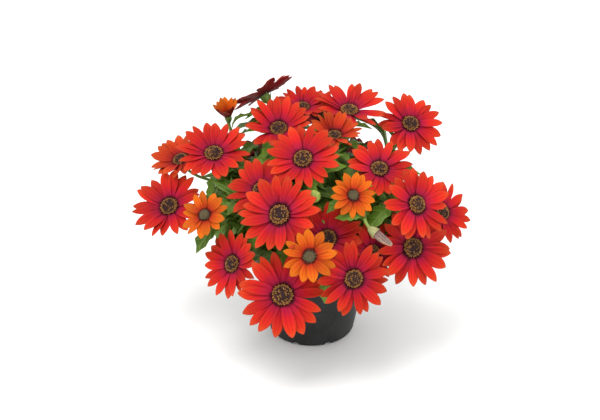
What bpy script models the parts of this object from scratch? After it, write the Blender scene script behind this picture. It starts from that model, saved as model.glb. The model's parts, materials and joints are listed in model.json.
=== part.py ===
"""A potted osteospermum in full bloom.

A black nursery pot full of soil holds one leafy plant with 28 open blooms, a closed bloom and
a bud. Metres, +Z up. The origin is the middle of the pot's base, and the front looks along -Y.
"""

import collections
import math
import random

import bmesh
import bpy
from mathutils import Matrix, Vector
from mathutils.bvhtree import BVHTree
from mathutils.geometry import interpolate_bezier

MM = 0.001
GOLDEN_ANGLE = math.radians(137.5)
GAP = 0.3 * MM

# The pot, from its rim down
POT_HEIGHT = 92 * MM
POT_RIM_RADIUS = 55 * MM
POT_BASE_RADIUS = 38 * MM
POT_WALL = 1.2 * MM
POT_FLOOR = 1.6 * MM
POT_CORNER = 2.5 * MM
RIM_BAND = 12 * MM
RIM_STEP = 1.8 * MM
POT_FOOT_FLARE = 0.4 * MM
TURNED_SIDES = 28
TURNED_MERGE = 0.1 * MM

# Drain notches, cut across the pot's bottom edge by short rods
NOTCHES = 8
NOTCH_RADIUS = 3.5 * MM
NOTCH_LENGTH = 12 * MM
NOTCH_SIDES = 10

# The soil, and the hole that the stem stands in
SOIL_TOP = 80 * MM
SOIL_EDGE_DROP = 2 * MM
SOIL_RINGS = (9 * MM, 22 * MM, 35 * MM)
SOIL_BUMP = 1.2 * MM
SOIL_BUMPS_ROUND = 5
SOIL_BUMP_TURN = 4 * MM
STEM_RADIUS = 4.5 * MM
STEM_FOOT = 45 * MM
STEM_HEAD = 96 * MM
STEM_SIDES = 8
STEM_TAPER = 0.9

# Petals, each in two spans and a tip: how far along its length a span ends, how wide the petal
# is there as a share of the room it has, and how much of the cup its slope keeps
PETAL_THICKNESS = 0.7 * MM
PETAL_SPANS = ((0.56, 0.93, 1.0), (0.86, 0.62, 0.75), (1.0, 0.0, 0.2))
PETAL_LENGTH_SPREAD = 0.05
HUB_MARGIN = 0.5 * MM

# The eye, as shares of the bloom's width. Its lid is inset, raised and dimpled.
EYE_RADIUS = 0.12
EYE_HEIGHT = 0.05
EYE_SIDES = 10
EYE_TAPER = 0.8
LID_INSET = 0.36
LID_RISE = 0.25
LID_DIMPLE = 0.2
FLORET_RELIEF = 0.5 * MM

# Shoots: eight that lean out from the stem's head, and one in the middle
SHOOT_BEARINGS = (-22, 25, 70, 115, 160, 205, 250, 295)
SHOOT_SINK = 8 * MM
SHOOT_REACH = 48 * MM
SHOOT_TOP = 124 * MM
SHOOT_EASE = 0.3
SHOOT_LIFT = 6 * MM
SHOOT_DIP = 18 * MM
SHOOT_RADIUS = 2.2 * MM
CENTRAL_SHOOT_HEAD = (2 * MM, 4 * MM, 142 * MM)
TUBE_SPANS = 4

# Stalks: where they leave a shoot, how far behind the bloom they turn to it and how far they
# may sway aside. Of the shoots nearest to the bloom, the first few are tried.
STALK_RADIUS = 1.3 * MM
STALK_FOOT_RADIUS = 1.2
STALK_TILT = 0.4
STALK_CLEARANCE = 2.4 * MM
STALK_FEET = (0.95, 0.75, 0.55)
STALK_STAND_OFFS = (34 * MM, 22 * MM, 50 * MM)
STALK_SWAYS = (0, 14 * MM, 26 * MM)
STALK_BENDS = 6
STALK_SHOOTS = 5
STALK_EASE = 0.35
MOST_STAND_OFF = 0.5
SHOOT_SAMPLES = 21
CLEARANCE_SAMPLES = 24

# The green cup behind a bloom
CALYX_LENGTH = 8 * MM
CALYX_SIDES = 6
CALYX_FOOT = 1.3
CALYX_MOUTH = 0.8

# Leaves: half their width at points along them, as a share of their length, how much they arch
# and droop, the lengths that are tried where one doesn't fit, and how far from the plant's middle
# line one may reach
LEAF_OUTLINE = ((0.0, 0.025), (0.52, 0.17), (0.64, 0.115), (0.77, 0.155), (1.0, 0.0))
LEAF_THICKNESS = 0.7 * MM
LEAF_LENGTH = (40 * MM, 58 * MM)
LEAF_ARCH = 0.22
LEAF_DROOP = 0.3
LEAF_FITS = (1, 0.8, 0.62)
LEAF_SPACING = 43 * MM
LEAF_FORWARD = 0.55
LEAF_RISE = 0.25
LEAF_FACE_UP = 0.6
LEAF_CLEARANCE = 2.4 * MM
MOST_LEAF_REACH = 95 * MM
LEAVES_ON_SHOOTS = (0.25, 1)
LEAVES_ON_STALKS = (0.1, 0.62)
LEAF_SAMPLES = 40
LEAVES_SEED = 11

# Points along stems that shown leaves may grow from: how many are sampled, and which are kept
ROOT_SAMPLES = 12
SHOOT_ROOTS = slice(4, None)
STALK_ROOTS = slice(1, 9)
ROOTS_TRIED = 80

# Tips, in mm, of the leaves that show between the blooms at the front
SHOWN_LEAF_TIPS = (
    (-99, -62, 110),
    (-91, -55, 124),
    (-84, -30, 162),
    (-68, -40, 158),
    (28, -40, 181),
    (61, -58, 152),
    (-52, -78, 121),
    (-42, -80, 133),
    (9, -84, 72),
    (46, -78, 140),
    (-46, -10, 176),
)
SHOWN_LEAF_LENGTH = 44 * MM
SHOWN_LEAF_UP = (0, -0.4, 1)
SHOWN_LEAF_DROOP = 0.05

# Each bloom: colour, width across and place of its eye in mm, the way that it faces (turned
# from the front towards +X, and lifted from level) and the rise of its petals in degrees, and
# its number of petals
Bloom = collections.namedtuple("Bloom", "colour across x y z turn lift cup petals")
BLOOMS = (
    Bloom("red", 67, -125, -5, 124, -24, 50, 18, 15),
    Bloom("orange", 42, -90, -62, 145, -25, 42, 12, 13),
    Bloom("red", 66, -85, -3, 174, -6, 64, 18, 15),
    Bloom("orange_red", 56, -117, 30, 153, -45, 62, 22, 14),
    Bloom("orange", 36, -75, 44, 190, -30, 76, 68, 12),
    Bloom("red", 60, -43, 66, 201, -135, 46, 12, 14),
    Bloom("red", 63, -29, 2, 195, 0, 64, 30, 14),
    Bloom("red", 50, -8, 56, 193, 25, 76, 20, 14),
    Bloom("red", 65, -8, -46, 189, -10, 54, 14, 15),
    Bloom("red", 52, 6, 74, 178, 10, 60, 20, 14),
    Bloom("red", 66, 33, 47, 193, 16, 76, 20, 15),
    Bloom("red", 62, 88, 50, 179, 18, 50, 8, 15),
    Bloom("orange_red", 50, 19, -3, 191, 20, 74, 30, 12),
    Bloom("red", 60, 56, -38, 176, 4, 60, 16, 15),
    Bloom("orange", 40, 33, -73, 169, 8, 34, 10, 13),
    Bloom("red", 62, 86, -64, 156, 28, 34, 8, 15),
    Bloom("red", 56, 113, -16, 124, 38, 34, 12, 14),
    Bloom("red", 70, 84, -65, 116, 22, 26, 10, 16),
    Bloom("red", 60, -43, -48, 161, -18, 48, 14, 14),
    Bloom("red", 70, -27, -87, 158, -20, 40, 14, 15),
    Bloom("red", 62, 12, -79, 132, 6, 42, 14, 14),
    Bloom("orange", 46, -3, -117, 136, 0, 29, 8, 13),
    Bloom("red", 60, -67, -74, 105, -44, 30, 14, 14),
    Bloom("red", 74, -25, -106, 94, 0, 27, 6, 16),
    Bloom("red", 64, 33, -107, 110, 14, 18, 8, 15),
    Bloom("red", 52, 50, -73, 116, 22, 30, 10, 14),
    Bloom("red", 64, -52, 92, 128, 208, 36, 14, 14),
    Bloom("red", 62, 42, 100, 122, 158, 30, 12, 14),
)

# Where the closed bloom and the bud sit, in mm, and how they face
CLOSED_BLOOM = Bloom("closed", 46, 52, -98, 146, 58, -26, 80, 8)
BUD = Bloom("bud", 8, 1, -77, 170, 10, 40, 0, 0)
BUD_STRETCH = 1.2

COLOURS = {
    "red": ((0.66, 0.030, 0.022), 0.5),
    "orange_red": ((0.72, 0.070, 0.016), 0.5),
    "orange": ((0.90, 0.230, 0.012), 0.5),
    "closed": ((0.48, 0.26, 0.22), 0.6),
    "eye": ((0.07, 0.022, 0.016), 0.7),
    "leaf": ((0.075, 0.17, 0.030), 0.5),
    "soil": ((0.045, 0.028, 0.018), 0.95),
    "pot": ((0.020, 0.021, 0.021), 0.42),
}


def remove_everything():
    for item in list(bpy.data.objects):
        bpy.data.objects.remove(item, do_unlink=True)


def new_collection(name):
    group = bpy.data.collections.new(name)
    bpy.context.scene.collection.children.link(group)
    return group


def finish_of(name):
    """The material of this colour, made the first time that it is asked for."""
    found = bpy.data.materials.get(name)
    if found:
        return found
    colour, roughness = COLOURS[name]
    made = bpy.data.materials.new(name)
    made.use_nodes = True
    shader = made.node_tree.nodes["Principled BSDF"]
    shader.inputs["Base Color"].default_value = (*colour, 1)
    shader.inputs["Roughness"].default_value = roughness
    shader.inputs["Metallic"].default_value = 0
    made.diffuse_color = (*colour, 1)
    return made


def object_from(name, shape, group, colour=None):
    """An object with the bmesh's shape, which is freed."""
    mesh = bpy.data.meshes.new(name)
    shape.to_mesh(mesh)
    shape.free()
    made = bpy.data.objects.new(name, mesh)
    group.objects.link(made)
    if colour:
        mesh.materials.append(finish_of(colour))
    return made


def apply_modifiers(item):
    """Makes the object's evaluated shape its own mesh."""
    graph = bpy.context.evaluated_depsgraph_get()
    item.data = bpy.data.meshes.new_from_object(item.evaluated_get(graph))
    item.modifiers.clear()


def facing(bloom):
    """The unit vector that a bloom faces along."""
    turn = math.radians(bloom.turn)
    lift = math.radians(bloom.lift)
    level = math.cos(lift)
    return Vector((math.sin(turn) * level, -math.cos(turn) * level, math.sin(lift)))


def place_of(bloom):
    return Vector((bloom.x, bloom.y, bloom.z)) * MM


def turned(name, profile, sides, group, colour):
    """A solid turned round Z from a profile that runs down its outer side."""
    shape = bmesh.new()
    points = [shape.verts.new((radius, 0, height)) for radius, height in profile]
    for above, below in zip(points, points[1:]):
        shape.edges.new((above, below))
    made = object_from(name, shape, group, colour)
    screw = made.modifiers.new("turn", "SCREW")
    screw.steps = sides
    screw.render_steps = sides
    screw.use_merge_vertices = True
    screw.merge_threshold = TURNED_MERGE
    apply_modifiers(made)
    return made


def inner_radius(height):
    """The radius inside the pot's wall at this height."""
    share = height / (POT_HEIGHT - RIM_BAND)
    top = POT_RIM_RADIUS - RIM_STEP
    return POT_BASE_RADIUS + (top - POT_BASE_RADIUS) * min(share, 1) - POT_WALL


def make_pot(group, cutters):
    band_foot = POT_HEIGHT - RIM_BAND
    profile = (
        (0, POT_FLOOR),
        (inner_radius(0) - POT_CORNER, POT_FLOOR),
        (inner_radius(POT_CORNER), POT_FLOOR + POT_CORNER),
        (inner_radius(band_foot), band_foot),
        (POT_RIM_RADIUS - POT_WALL, band_foot + RIM_STEP),
        (POT_RIM_RADIUS - POT_WALL, POT_HEIGHT),
        (POT_RIM_RADIUS, POT_HEIGHT),
        (POT_RIM_RADIUS, band_foot),
        (POT_RIM_RADIUS - RIM_STEP, band_foot),
        (POT_BASE_RADIUS + POT_FOOT_FLARE, POT_CORNER),
        (POT_BASE_RADIUS - POT_CORNER, 0),
        (0, 0),
    )
    pot = turned("pot", profile, TURNED_SIDES, group, "pot")
    for index in range(NOTCHES):
        bearing = 2 * math.pi * (index + 0.5) / NOTCHES
        cutter = notch_cutter(f"notch_{index}", bearing, cutters)
        cut = pot.modifiers.new(cutter.name, "BOOLEAN")
        cut.operation = "DIFFERENCE"
        cut.object = cutter
    return pot


def notch_cutter(name, bearing, cutters):
    """A short rod that lies across the pot's bottom edge."""
    shape = bmesh.new()
    bmesh.ops.create_cone(
        shape,
        cap_ends=True,
        segments=NOTCH_SIDES,
        radius1=NOTCH_RADIUS,
        radius2=NOTCH_RADIUS,
        depth=NOTCH_LENGTH,
    )
    rod = object_from(name, shape, cutters)
    rod.rotation_euler = (0, math.pi / 2, bearing)
    out = Vector((math.cos(bearing), math.sin(bearing), 0))
    rod.location = out * POT_BASE_RADIUS
    rod.hide_render = True
    rod.display_type = "WIRE"
    return rod


def make_soil(group):
    """A root ball that fills the pot, with a plain hole for the stem."""
    hole = STEM_RADIUS + 2 * GAP
    bottom = POT_FLOOR + GAP
    edge_height = SOIL_TOP - SOIL_EDGE_DROP
    profile = (
        (0, STEM_FOOT - GAP),
        (hole, STEM_FOOT - GAP),
        (hole, SOIL_TOP),
        *((hole + ring, SOIL_TOP) for ring in SOIL_RINGS),
        (inner_radius(edge_height) - GAP, edge_height),
        (inner_radius(POT_CORNER) - GAP, bottom + POT_CORNER),
        (inner_radius(0) - POT_CORNER - GAP, bottom),
        (0, bottom),
    )
    soil = turned("soil", profile, TURNED_SIDES, group, "soil")
    for vertex in soil.data.vertices:
        radius = math.hypot(vertex.co.x, vertex.co.y)
        if vertex.co.z > SOIL_TOP - GAP and radius > hole + GAP:
            bearing = math.atan2(vertex.co.y, vertex.co.x)
            turn = SOIL_BUMPS_ROUND * bearing + radius / SOIL_BUMP_TURN
            vertex.co.z += SOIL_BUMP * math.sin(turn)
    return soil


def petal_stations(bloom, hub_radius, room):
    """Radius, height and half width where each span of a petal ends."""
    length = bloom.across * MM / 2 - hub_radius
    radius = hub_radius
    height = 0
    along = 0
    for end, width, slope in PETAL_SPANS:
        rise = math.radians(bloom.cup) * slope
        radius += (end - along) * length * math.cos(rise)
        height += (end - along) * length * math.sin(rise)
        along = end
        yield radius, height, radius * room * width


def grow_petal(shape, edge, stations, reach, merged):
    """Grows one petal out of an edge of the hub. The tip's two points are added to merged."""
    out = (edge.verts[0].co + edge.verts[1].co).normalized()
    across = Vector((-out.y, out.x, 0))
    foot = (edge.verts[0].co + edge.verts[1].co).length / 2
    for radius, height, half in stations:
        grown = bmesh.ops.extrude_edge_only(shape, edges=[edge])["geom"]
        ends = [part for part in grown if isinstance(part, bmesh.types.BMVert)]
        ends.sort(key=lambda vertex: vertex.co.dot(across))
        middle = out * (foot + (radius - foot) * reach)
        for vertex, side in zip(ends, (-1, 1)):
            vertex.co = middle + across * side * half + Vector((0, 0, height * reach))
        edge = next(
            part
            for part in grown
            if isinstance(part, bmesh.types.BMEdge) and set(part.verts) == set(ends)
        )
    merged.append((ends, middle + Vector((0, 0, height * reach))))


def hub_radius_of(bloom):
    """The radius of the disc that the petals grow from."""
    return bloom.across * MM * EYE_RADIUS + HUB_MARGIN


def make_rays(name, bloom, colour, group, spin, dice):
    """The ring of petals, one thin body. Its top is level at its middle."""
    shape = bmesh.new()
    bmesh.ops.create_circle(
        shape, cap_ends=True, segments=bloom.petals, radius=hub_radius_of(bloom)
    )
    bmesh.ops.rotate(shape, verts=shape.verts, matrix=Matrix.Rotation(spin, 3, "Z"))
    room = math.tan(math.pi / bloom.petals)
    stations = list(petal_stations(bloom, hub_radius_of(bloom), room))
    tips = []
    for edge in list(shape.edges):
        reach = 1 - dice.random() * PETAL_LENGTH_SPREAD
        grow_petal(shape, edge, stations, reach, tips)
    for ends, tip in tips:
        bmesh.ops.pointmerge(shape, verts=ends, merge_co=tip)
    bmesh.ops.recalc_face_normals(shape, faces=shape.faces)
    if sum(face.normal.z * face.calc_area() for face in shape.faces) < 0:
        bmesh.ops.reverse_faces(shape, faces=shape.faces)
    bmesh.ops.triangulate(shape, faces=shape.faces)
    rays = object_from(name, shape, group, colour)
    shell = rays.modifiers.new("thickness", "SOLIDIFY")
    shell.thickness = PETAL_THICKNESS
    shell.offset = -1
    return rays


def make_eye(name, bloom, group):
    """The domed disc of florets, which stand out as alternate raised points."""
    shape = bmesh.new()
    radius = bloom.across * MM * EYE_RADIUS
    height = bloom.across * MM * EYE_HEIGHT
    bmesh.ops.create_cone(
        shape,
        cap_ends=True,
        segments=EYE_SIDES,
        radius1=radius,
        radius2=radius * EYE_TAPER,
        depth=height,
    )
    bmesh.ops.translate(shape, verts=shape.verts, vec=(0, 0, height / 2 + GAP))
    lid = max(shape.faces, key=lambda face: face.calc_center_median().z)
    bmesh.ops.inset_individual(
        shape, faces=[lid], thickness=radius * LID_INSET, depth=height * LID_RISE
    )
    bmesh.ops.poke(shape, faces=[lid], offset=-height * LID_DIMPLE)
    for vertex in shape.verts:
        sector = math.atan2(vertex.co.y, vertex.co.x) / math.tau * EYE_SIDES
        if vertex.co.z > height / 2 and vertex.co.xy.length > GAP:
            raised = 1 if round(sector) % 2 else -1
            vertex.co.z += raised * FLORET_RELIEF
    return object_from(name, shape, group, "eye")


def make_bloom(number, bloom, group, dice):
    """One open bloom on an empty that carries its rays and its eye."""
    name = f"bloom_{number:02d}"
    holder = bpy.data.objects.new(name, None)
    holder.location = place_of(bloom)
    holder.rotation_mode = "QUATERNION"
    holder.rotation_quaternion = facing(bloom).to_track_quat("Z", "Y")
    group.objects.link(holder)
    spin = number * GOLDEN_ANGLE
    rays = make_rays(f"{name}_rays", bloom, bloom.colour, group, spin, dice)
    eye = make_eye(f"{name}_disc", bloom, group)
    rays.parent = holder
    eye.parent = holder
    return rays, eye


def make_closed_bloom(group, dice):
    rays = make_rays("closed_bloom", CLOSED_BLOOM, "closed", group, 0, dice)
    rays.location = place_of(CLOSED_BLOOM)
    rays.rotation_mode = "QUATERNION"
    rays.rotation_quaternion = facing(CLOSED_BLOOM).to_track_quat("Z", "Y")
    return rays


def obstacle_tree(items):
    """One search tree over everything that stems and leaves keep clear of."""
    bpy.context.view_layer.update()
    graph = bpy.context.evaluated_depsgraph_get()
    points = []
    faces = []
    for item in items:
        evaluated = item.evaluated_get(graph)
        mesh = evaluated.to_mesh()
        first = len(points)
        points += [item.matrix_world @ vertex.co for vertex in mesh.vertices]
        faces += [[first + index for index in face.vertices] for face in mesh.polygons]
        evaluated.to_mesh_clear()
    return BVHTree.FromPolygons(points, faces)


def tube(name, knots, radii, tilt, group):
    """A bent tapering rod along one Bezier span, as a closed mesh, with its sides tilted."""
    curve = bpy.data.curves.new(name, "CURVE")
    curve.dimensions = "3D"
    curve.bevel_depth = 1
    curve.bevel_resolution = 0
    curve.resolution_u = TUBE_SPANS
    curve.use_fill_caps = True
    spline = curve.splines.new("BEZIER")
    spline.bezier_points.add(1)
    start, finish = spline.bezier_points
    start.co = knots[0]
    start.handle_left = knots[0] * 2 - knots[1]
    start.handle_right = knots[1]
    start.radius = radii[0]
    start.tilt = tilt
    finish.co = knots[3]
    finish.handle_left = knots[2]
    finish.handle_right = knots[3] * 2 - knots[2]
    finish.radius = radii[1]
    finish.tilt = tilt
    route = bpy.data.objects.new(name, curve)
    group.objects.link(route)
    graph = bpy.context.evaluated_depsgraph_get()
    mesh = bpy.data.meshes.new_from_object(route.evaluated_get(graph))
    bpy.data.objects.remove(route, do_unlink=True)
    shape = bmesh.new()
    shape.from_mesh(mesh)
    bmesh.ops.remove_doubles(shape, verts=shape.verts, dist=0.01 * MM)
    bmesh.ops.recalc_face_normals(shape, faces=shape.faces)
    return object_from(name, shape, group)


def shoot_knots(bearing_degrees):
    """A main shoot, up out of the stem and then outwards."""
    bearing = math.radians(bearing_degrees)
    out = Vector((math.cos(bearing), math.sin(bearing), 0))
    foot = Vector((0, 0, STEM_HEAD - SHOOT_SINK))
    head = out * SHOOT_REACH + Vector((0, 0, SHOOT_TOP))
    return (
        foot,
        foot + out * SHOOT_REACH * SHOOT_EASE + Vector((0, 0, SHOOT_LIFT)),
        head - out * SHOOT_REACH * SHOOT_EASE - Vector((0, 0, SHOOT_DIP)),
        head,
    )


def central_shoot():
    foot = Vector((0, 0, STEM_HEAD - SHOOT_SINK))
    head = Vector(CENTRAL_SHOOT_HEAD)
    return (foot, foot.lerp(head, 0.33), foot.lerp(head, 0.66), head)


def stalk_knots(shoot, along, bloom, stand_off, sway):
    """A stalk that leaves a shoot, may sway aside, and comes up behind its bloom."""
    points = interpolate_bezier(*shoot, SHOOT_SAMPLES)
    index = round(along * (SHOOT_SAMPLES - 2))
    root = points[index]
    heading = (points[index + 1] - root).normalized()
    axis = facing(bloom)
    end = place_of(bloom) - axis * (PETAL_THICKNESS + GAP + CALYX_LENGTH / 2)
    reach = (end - root).length
    width, bearing = sway
    level = axis.cross(Vector((0, 0, 1))).normalized()
    side = (level * math.cos(bearing) + axis.cross(level) * math.sin(bearing)) * width
    bend = end - axis * min(stand_off, reach * MOST_STAND_OFF) + side
    return (root, root + heading * reach * STALK_EASE + side, bend, end)


def clearance(knots, tree):
    """How near the route comes to anything, up to the clearance that is wanted."""
    points = interpolate_bezier(*knots, CLEARANCE_SAMPLES)
    nearest = STALK_CLEARANCE
    for point in points:
        if (point - knots[3]).length > CALYX_LENGTH:
            nearest = min(nearest, tree.find_nearest(point)[3])
    return nearest


def clear_stalk(bloom, shoots, tree):
    """The first route that keeps clear of everything, or else the clearest."""
    place = place_of(bloom)
    near = sorted(shoots, key=lambda knots: (knots[3] - place).length)
    routes = [
        stalk_knots(shoot, along, bloom, stand_off, (sway, math.tau * bend / STALK_BENDS))
        for sway in STALK_SWAYS
        for bend in range(STALK_BENDS if sway else 1)
        for shoot in near[:STALK_SHOOTS]
        for along in STALK_FEET
        for stand_off in STALK_STAND_OFFS
    ]
    return max(routes, key=lambda knots: clearance(knots, tree))


def calyx(name, bloom, group):
    """The green cup behind a bloom's petals."""
    axis = facing(bloom)
    shape = bmesh.new()
    bmesh.ops.create_cone(
        shape,
        cap_ends=True,
        segments=CALYX_SIDES,
        radius1=STALK_RADIUS * CALYX_FOOT,
        radius2=hub_radius_of(bloom) * CALYX_MOUTH,
        depth=CALYX_LENGTH,
    )
    cup = object_from(name, shape, group)
    middle = PETAL_THICKNESS + GAP + CALYX_LENGTH / 2
    cup.location = place_of(bloom) - axis * middle
    cup.rotation_mode = "QUATERNION"
    cup.rotation_quaternion = axis.to_track_quat("Z", "Y")
    return cup


def leaf_surface(root, along, up, length, droop):
    """One toothed leaf as an open surface that leaves its root along a line and bends over."""
    shape = bmesh.new()
    spans = len(LEAF_OUTLINE) - 1
    bmesh.ops.create_grid(shape, x_segments=1, y_segments=spans, size=1)
    side = along.cross(up).normalized()
    rise = side.cross(along).normalized()
    for vertex in shape.verts:
        share, half = LEAF_OUTLINE[round((vertex.co.y + 1) / 2 * spans)]
        hand = 1 if vertex.co.x > 0 else -1
        bend = length * (LEAF_ARCH * math.sin(math.pi * share) - droop * share * share)
        vertex.co = root + along * length * share + side * hand * half * length + rise * bend
    bmesh.ops.remove_doubles(shape, verts=shape.verts, dist=0.01 * MM)
    bmesh.ops.triangulate(shape, faces=shape.faces)
    return shape


def thickened(surface, thickness):
    """A closed blade made from a copy of an open surface, half its thickness to each side."""
    blade = surface.copy()
    for vertex in blade.verts:
        vertex.normal_update()
    shifts = [vertex.normal * thickness / 2 for vertex in blade.verts]
    for vertex, shift in zip(blade.verts, shifts):
        vertex.co += shift
    bmesh.ops.solidify(blade, geom=blade.faces, thickness=thickness)
    bmesh.ops.recalc_face_normals(blade, faces=blade.faces)
    return blade


def leaf_on(name, root, along, up, length, droop, tree, group):
    """A leaf at this root, shortened until it is clear of everything, or none."""
    for share in LEAF_FITS:
        surface = leaf_surface(root, along, up, length * share, droop)
        guard = thickened(surface, LEAF_CLEARANCE)
        clear = not tree.overlap(BVHTree.FromBMesh(guard))
        guard.free()
        if clear:
            blade = thickened(surface, LEAF_THICKNESS)
            surface.free()
            return object_from(name, blade, group)
        surface.free()
    return None


def leaves_along(name, knots, reach, tree, group, dice):
    """Leaves spaced along part of a stem, each turned from the one below by the golden angle."""
    points = interpolate_bezier(*knots, LEAF_SAMPLES)
    first, last = reach
    walked = 0
    turn = dice.random() * math.tau
    made = 0
    for index in range(1, len(points) - 1):
        step = points[index] - points[index - 1]
        walked += step.length
        share = index / (len(points) - 1)
        if walked < LEAF_SPACING or not first <= share <= last:
            continue
        walked = 0
        turn += GOLDEN_ANGLE
        stem = step.normalized()
        flat = stem.orthogonal().normalized()
        across = stem.cross(flat)
        out = flat * math.cos(turn) + across * math.sin(turn)
        along = (out + stem * LEAF_FORWARD + Vector((0, 0, LEAF_RISE))).normalized()
        up = stem + Vector((0, 0, LEAF_FACE_UP))
        length = dice.uniform(*LEAF_LENGTH)
        if (points[index] + along * length).xy.length > MOST_LEAF_REACH:
            continue
        leaf = f"{name}_leaf_{made}"
        if leaf_on(leaf, points[index], along, up, length, LEAF_DROOP, tree, group):
            made += 1


def shown_leaf(name, tip, stem_points, tree, group):
    """A leaf that ends at this tip, from the first stem with a clear way to it."""
    near = sorted(stem_points, key=lambda point: abs((tip - point).length - SHOWN_LEAF_LENGTH))
    up = Vector(SHOWN_LEAF_UP)
    for root in near[:ROOTS_TRIED]:
        reach = tip - root
        droop = SHOWN_LEAF_DROOP
        if leaf_on(name, root, reach.normalized(), up, reach.length, droop, tree, group):
            return


def make_bud(group):
    shape = bmesh.new()
    radius = BUD.across * MM / 2
    bmesh.ops.create_icosphere(shape, subdivisions=1, radius=radius)
    bud = object_from("bud", shape, group)
    bud.location = place_of(BUD)
    bud.scale = (1, 1, BUD_STRETCH)
    return bud


def make_foliage(group, tree):
    """Stem, shoots, stalks, calyxes, leaves and bud, grown together as one body."""
    growth = new_collection("growth")
    dice = random.Random(LEAVES_SEED)
    stem = bmesh.new()
    bmesh.ops.create_cone(
        stem,
        cap_ends=True,
        segments=STEM_SIDES,
        radius1=STEM_RADIUS,
        radius2=STEM_RADIUS * STEM_TAPER,
        depth=STEM_HEAD - STEM_FOOT,
    )
    bmesh.ops.translate(stem, verts=stem.verts, vec=(0, 0, (STEM_HEAD + STEM_FOOT) / 2))
    foliage = object_from("foliage", stem, group, "leaf")
    stalk_foot = STALK_RADIUS * STALK_FOOT_RADIUS
    shoots = [shoot_knots(bearing) for bearing in SHOOT_BEARINGS]
    shoots.append(central_shoot())
    stem_points = []
    for index, knots in enumerate(shoots):
        name = f"shoot_{index}"
        stem_points += interpolate_bezier(*knots, ROOT_SAMPLES)[SHOOT_ROOTS]
        tube(name, knots, (SHOOT_RADIUS, stalk_foot), index, growth)
        leaves_along(name, knots, LEAVES_ON_SHOOTS, tree, growth, dice)
    make_bud(growth)
    for index, bloom in enumerate((*BLOOMS, CLOSED_BLOOM, BUD)):
        name = f"stalk_{index}"
        knots = clear_stalk(bloom, shoots, tree)
        tube(name, knots, (stalk_foot, STALK_RADIUS), index + STALK_TILT, growth)
        stem_points += interpolate_bezier(*knots, ROOT_SAMPLES)[STALK_ROOTS]
        leaves_along(name, knots, LEAVES_ON_STALKS, tree, growth, dice)
        calyx(f"calyx_{index}", bloom, growth)
    for index, tip in enumerate(SHOWN_LEAF_TIPS):
        shown_leaf(f"shown_leaf_{index}", Vector(tip) * MM, stem_points, tree, growth)
    join = foliage.modifiers.new("grown together", "BOOLEAN")
    join.operation = "UNION"
    join.operand_type = "COLLECTION"
    join.collection = growth
    join.solver = "MANIFOLD"
    apply_modifiers(foliage)
    for item in list(growth.objects):
        bpy.data.objects.remove(item, do_unlink=True)
    bpy.data.collections.remove(growth)
    return foliage


def main():
    remove_everything()
    plant = new_collection("osteospermum")
    cutters = new_collection("pot_cutters")
    dice = random.Random(LEAVES_SEED)
    solids = [make_pot(plant, cutters), make_soil(plant)]
    for number, bloom in enumerate(BLOOMS, 1):
        solids += make_bloom(number, bloom, plant, dice)
    solids.append(make_closed_bloom(plant, dice))
    make_foliage(plant, obstacle_tree(solids))


main()
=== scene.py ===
"""The looks of a potted osteospermum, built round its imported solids.

Blender runs it as a script. Lengths are in metres, +Z is up, the origin is the middle of the pot's
base and the front looks along -Y. Petals, florets, bracts, leaves, stems and crumbs of soil come
from Geometry Nodes trees. The pot, the soil, the bud and each single petal or leaf are modelled.
"""

import collections
import functools
import json
import math
import random

import bmesh
import bpy
from bpy.props import FloatProperty, FloatVectorProperty, IntProperty, PointerProperty
from mathutils import Matrix, Vector
from mathutils.bvhtree import BVHTree
from mathutils.geometry import interpolate_bezier

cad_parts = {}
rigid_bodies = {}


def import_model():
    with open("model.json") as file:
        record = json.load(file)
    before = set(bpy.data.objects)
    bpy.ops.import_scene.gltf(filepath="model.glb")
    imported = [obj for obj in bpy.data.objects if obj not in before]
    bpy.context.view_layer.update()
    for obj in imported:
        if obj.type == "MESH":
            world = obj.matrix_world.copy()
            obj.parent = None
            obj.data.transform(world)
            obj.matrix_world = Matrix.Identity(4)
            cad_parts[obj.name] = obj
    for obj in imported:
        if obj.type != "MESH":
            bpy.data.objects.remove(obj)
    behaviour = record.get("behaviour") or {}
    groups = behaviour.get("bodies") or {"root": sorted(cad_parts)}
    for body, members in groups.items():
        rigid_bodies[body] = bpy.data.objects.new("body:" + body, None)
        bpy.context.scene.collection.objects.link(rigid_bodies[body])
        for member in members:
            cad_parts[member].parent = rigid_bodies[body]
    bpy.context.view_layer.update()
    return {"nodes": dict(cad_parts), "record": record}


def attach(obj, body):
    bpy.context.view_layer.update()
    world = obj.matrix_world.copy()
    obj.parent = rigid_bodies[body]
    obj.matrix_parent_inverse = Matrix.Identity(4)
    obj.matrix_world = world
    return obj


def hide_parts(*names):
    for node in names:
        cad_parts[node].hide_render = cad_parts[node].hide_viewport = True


bl_info = {
    "name": "Potted osteospermum",
    "version": (1, 0, 0),
    "blender": (4, 5, 0),
    "location": "View3D > Sidebar > Osteospermum",
    "description": "Petals, eyes, leaves, stems, soil and pot on the packed solids, with a plain stage",
    "category": "Object",
}

for leftover in list(bpy.data.objects):
    bpy.data.objects.remove(leftover, do_unlink=True)
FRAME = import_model()

MM = 0.001
GOLDEN_ANGLE = math.radians(137.5)
GAP = 0.3 * MM
UP = Vector((0, 0, 1))

# What the solids of a bloom share, as shares of its width or in metres
EYE_RADIUS = 0.12
EYE_HEIGHT = 0.05
HUB_MARGIN = 0.5 * MM
RAYS_THICKNESS = 0.7 * MM
CUP_KEPT = 0.81

# How near to the furthest point of a ring of rays the tips of its petals are
TIP_SHARE = 0.95

# The colour of a bloom by the slot of its rays. Warm is orange-red.
COLOUR_OF_SLOT = {"rays_red": "red", "rays_orange_red": "warm", "rays_orange": "orange"}

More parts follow.
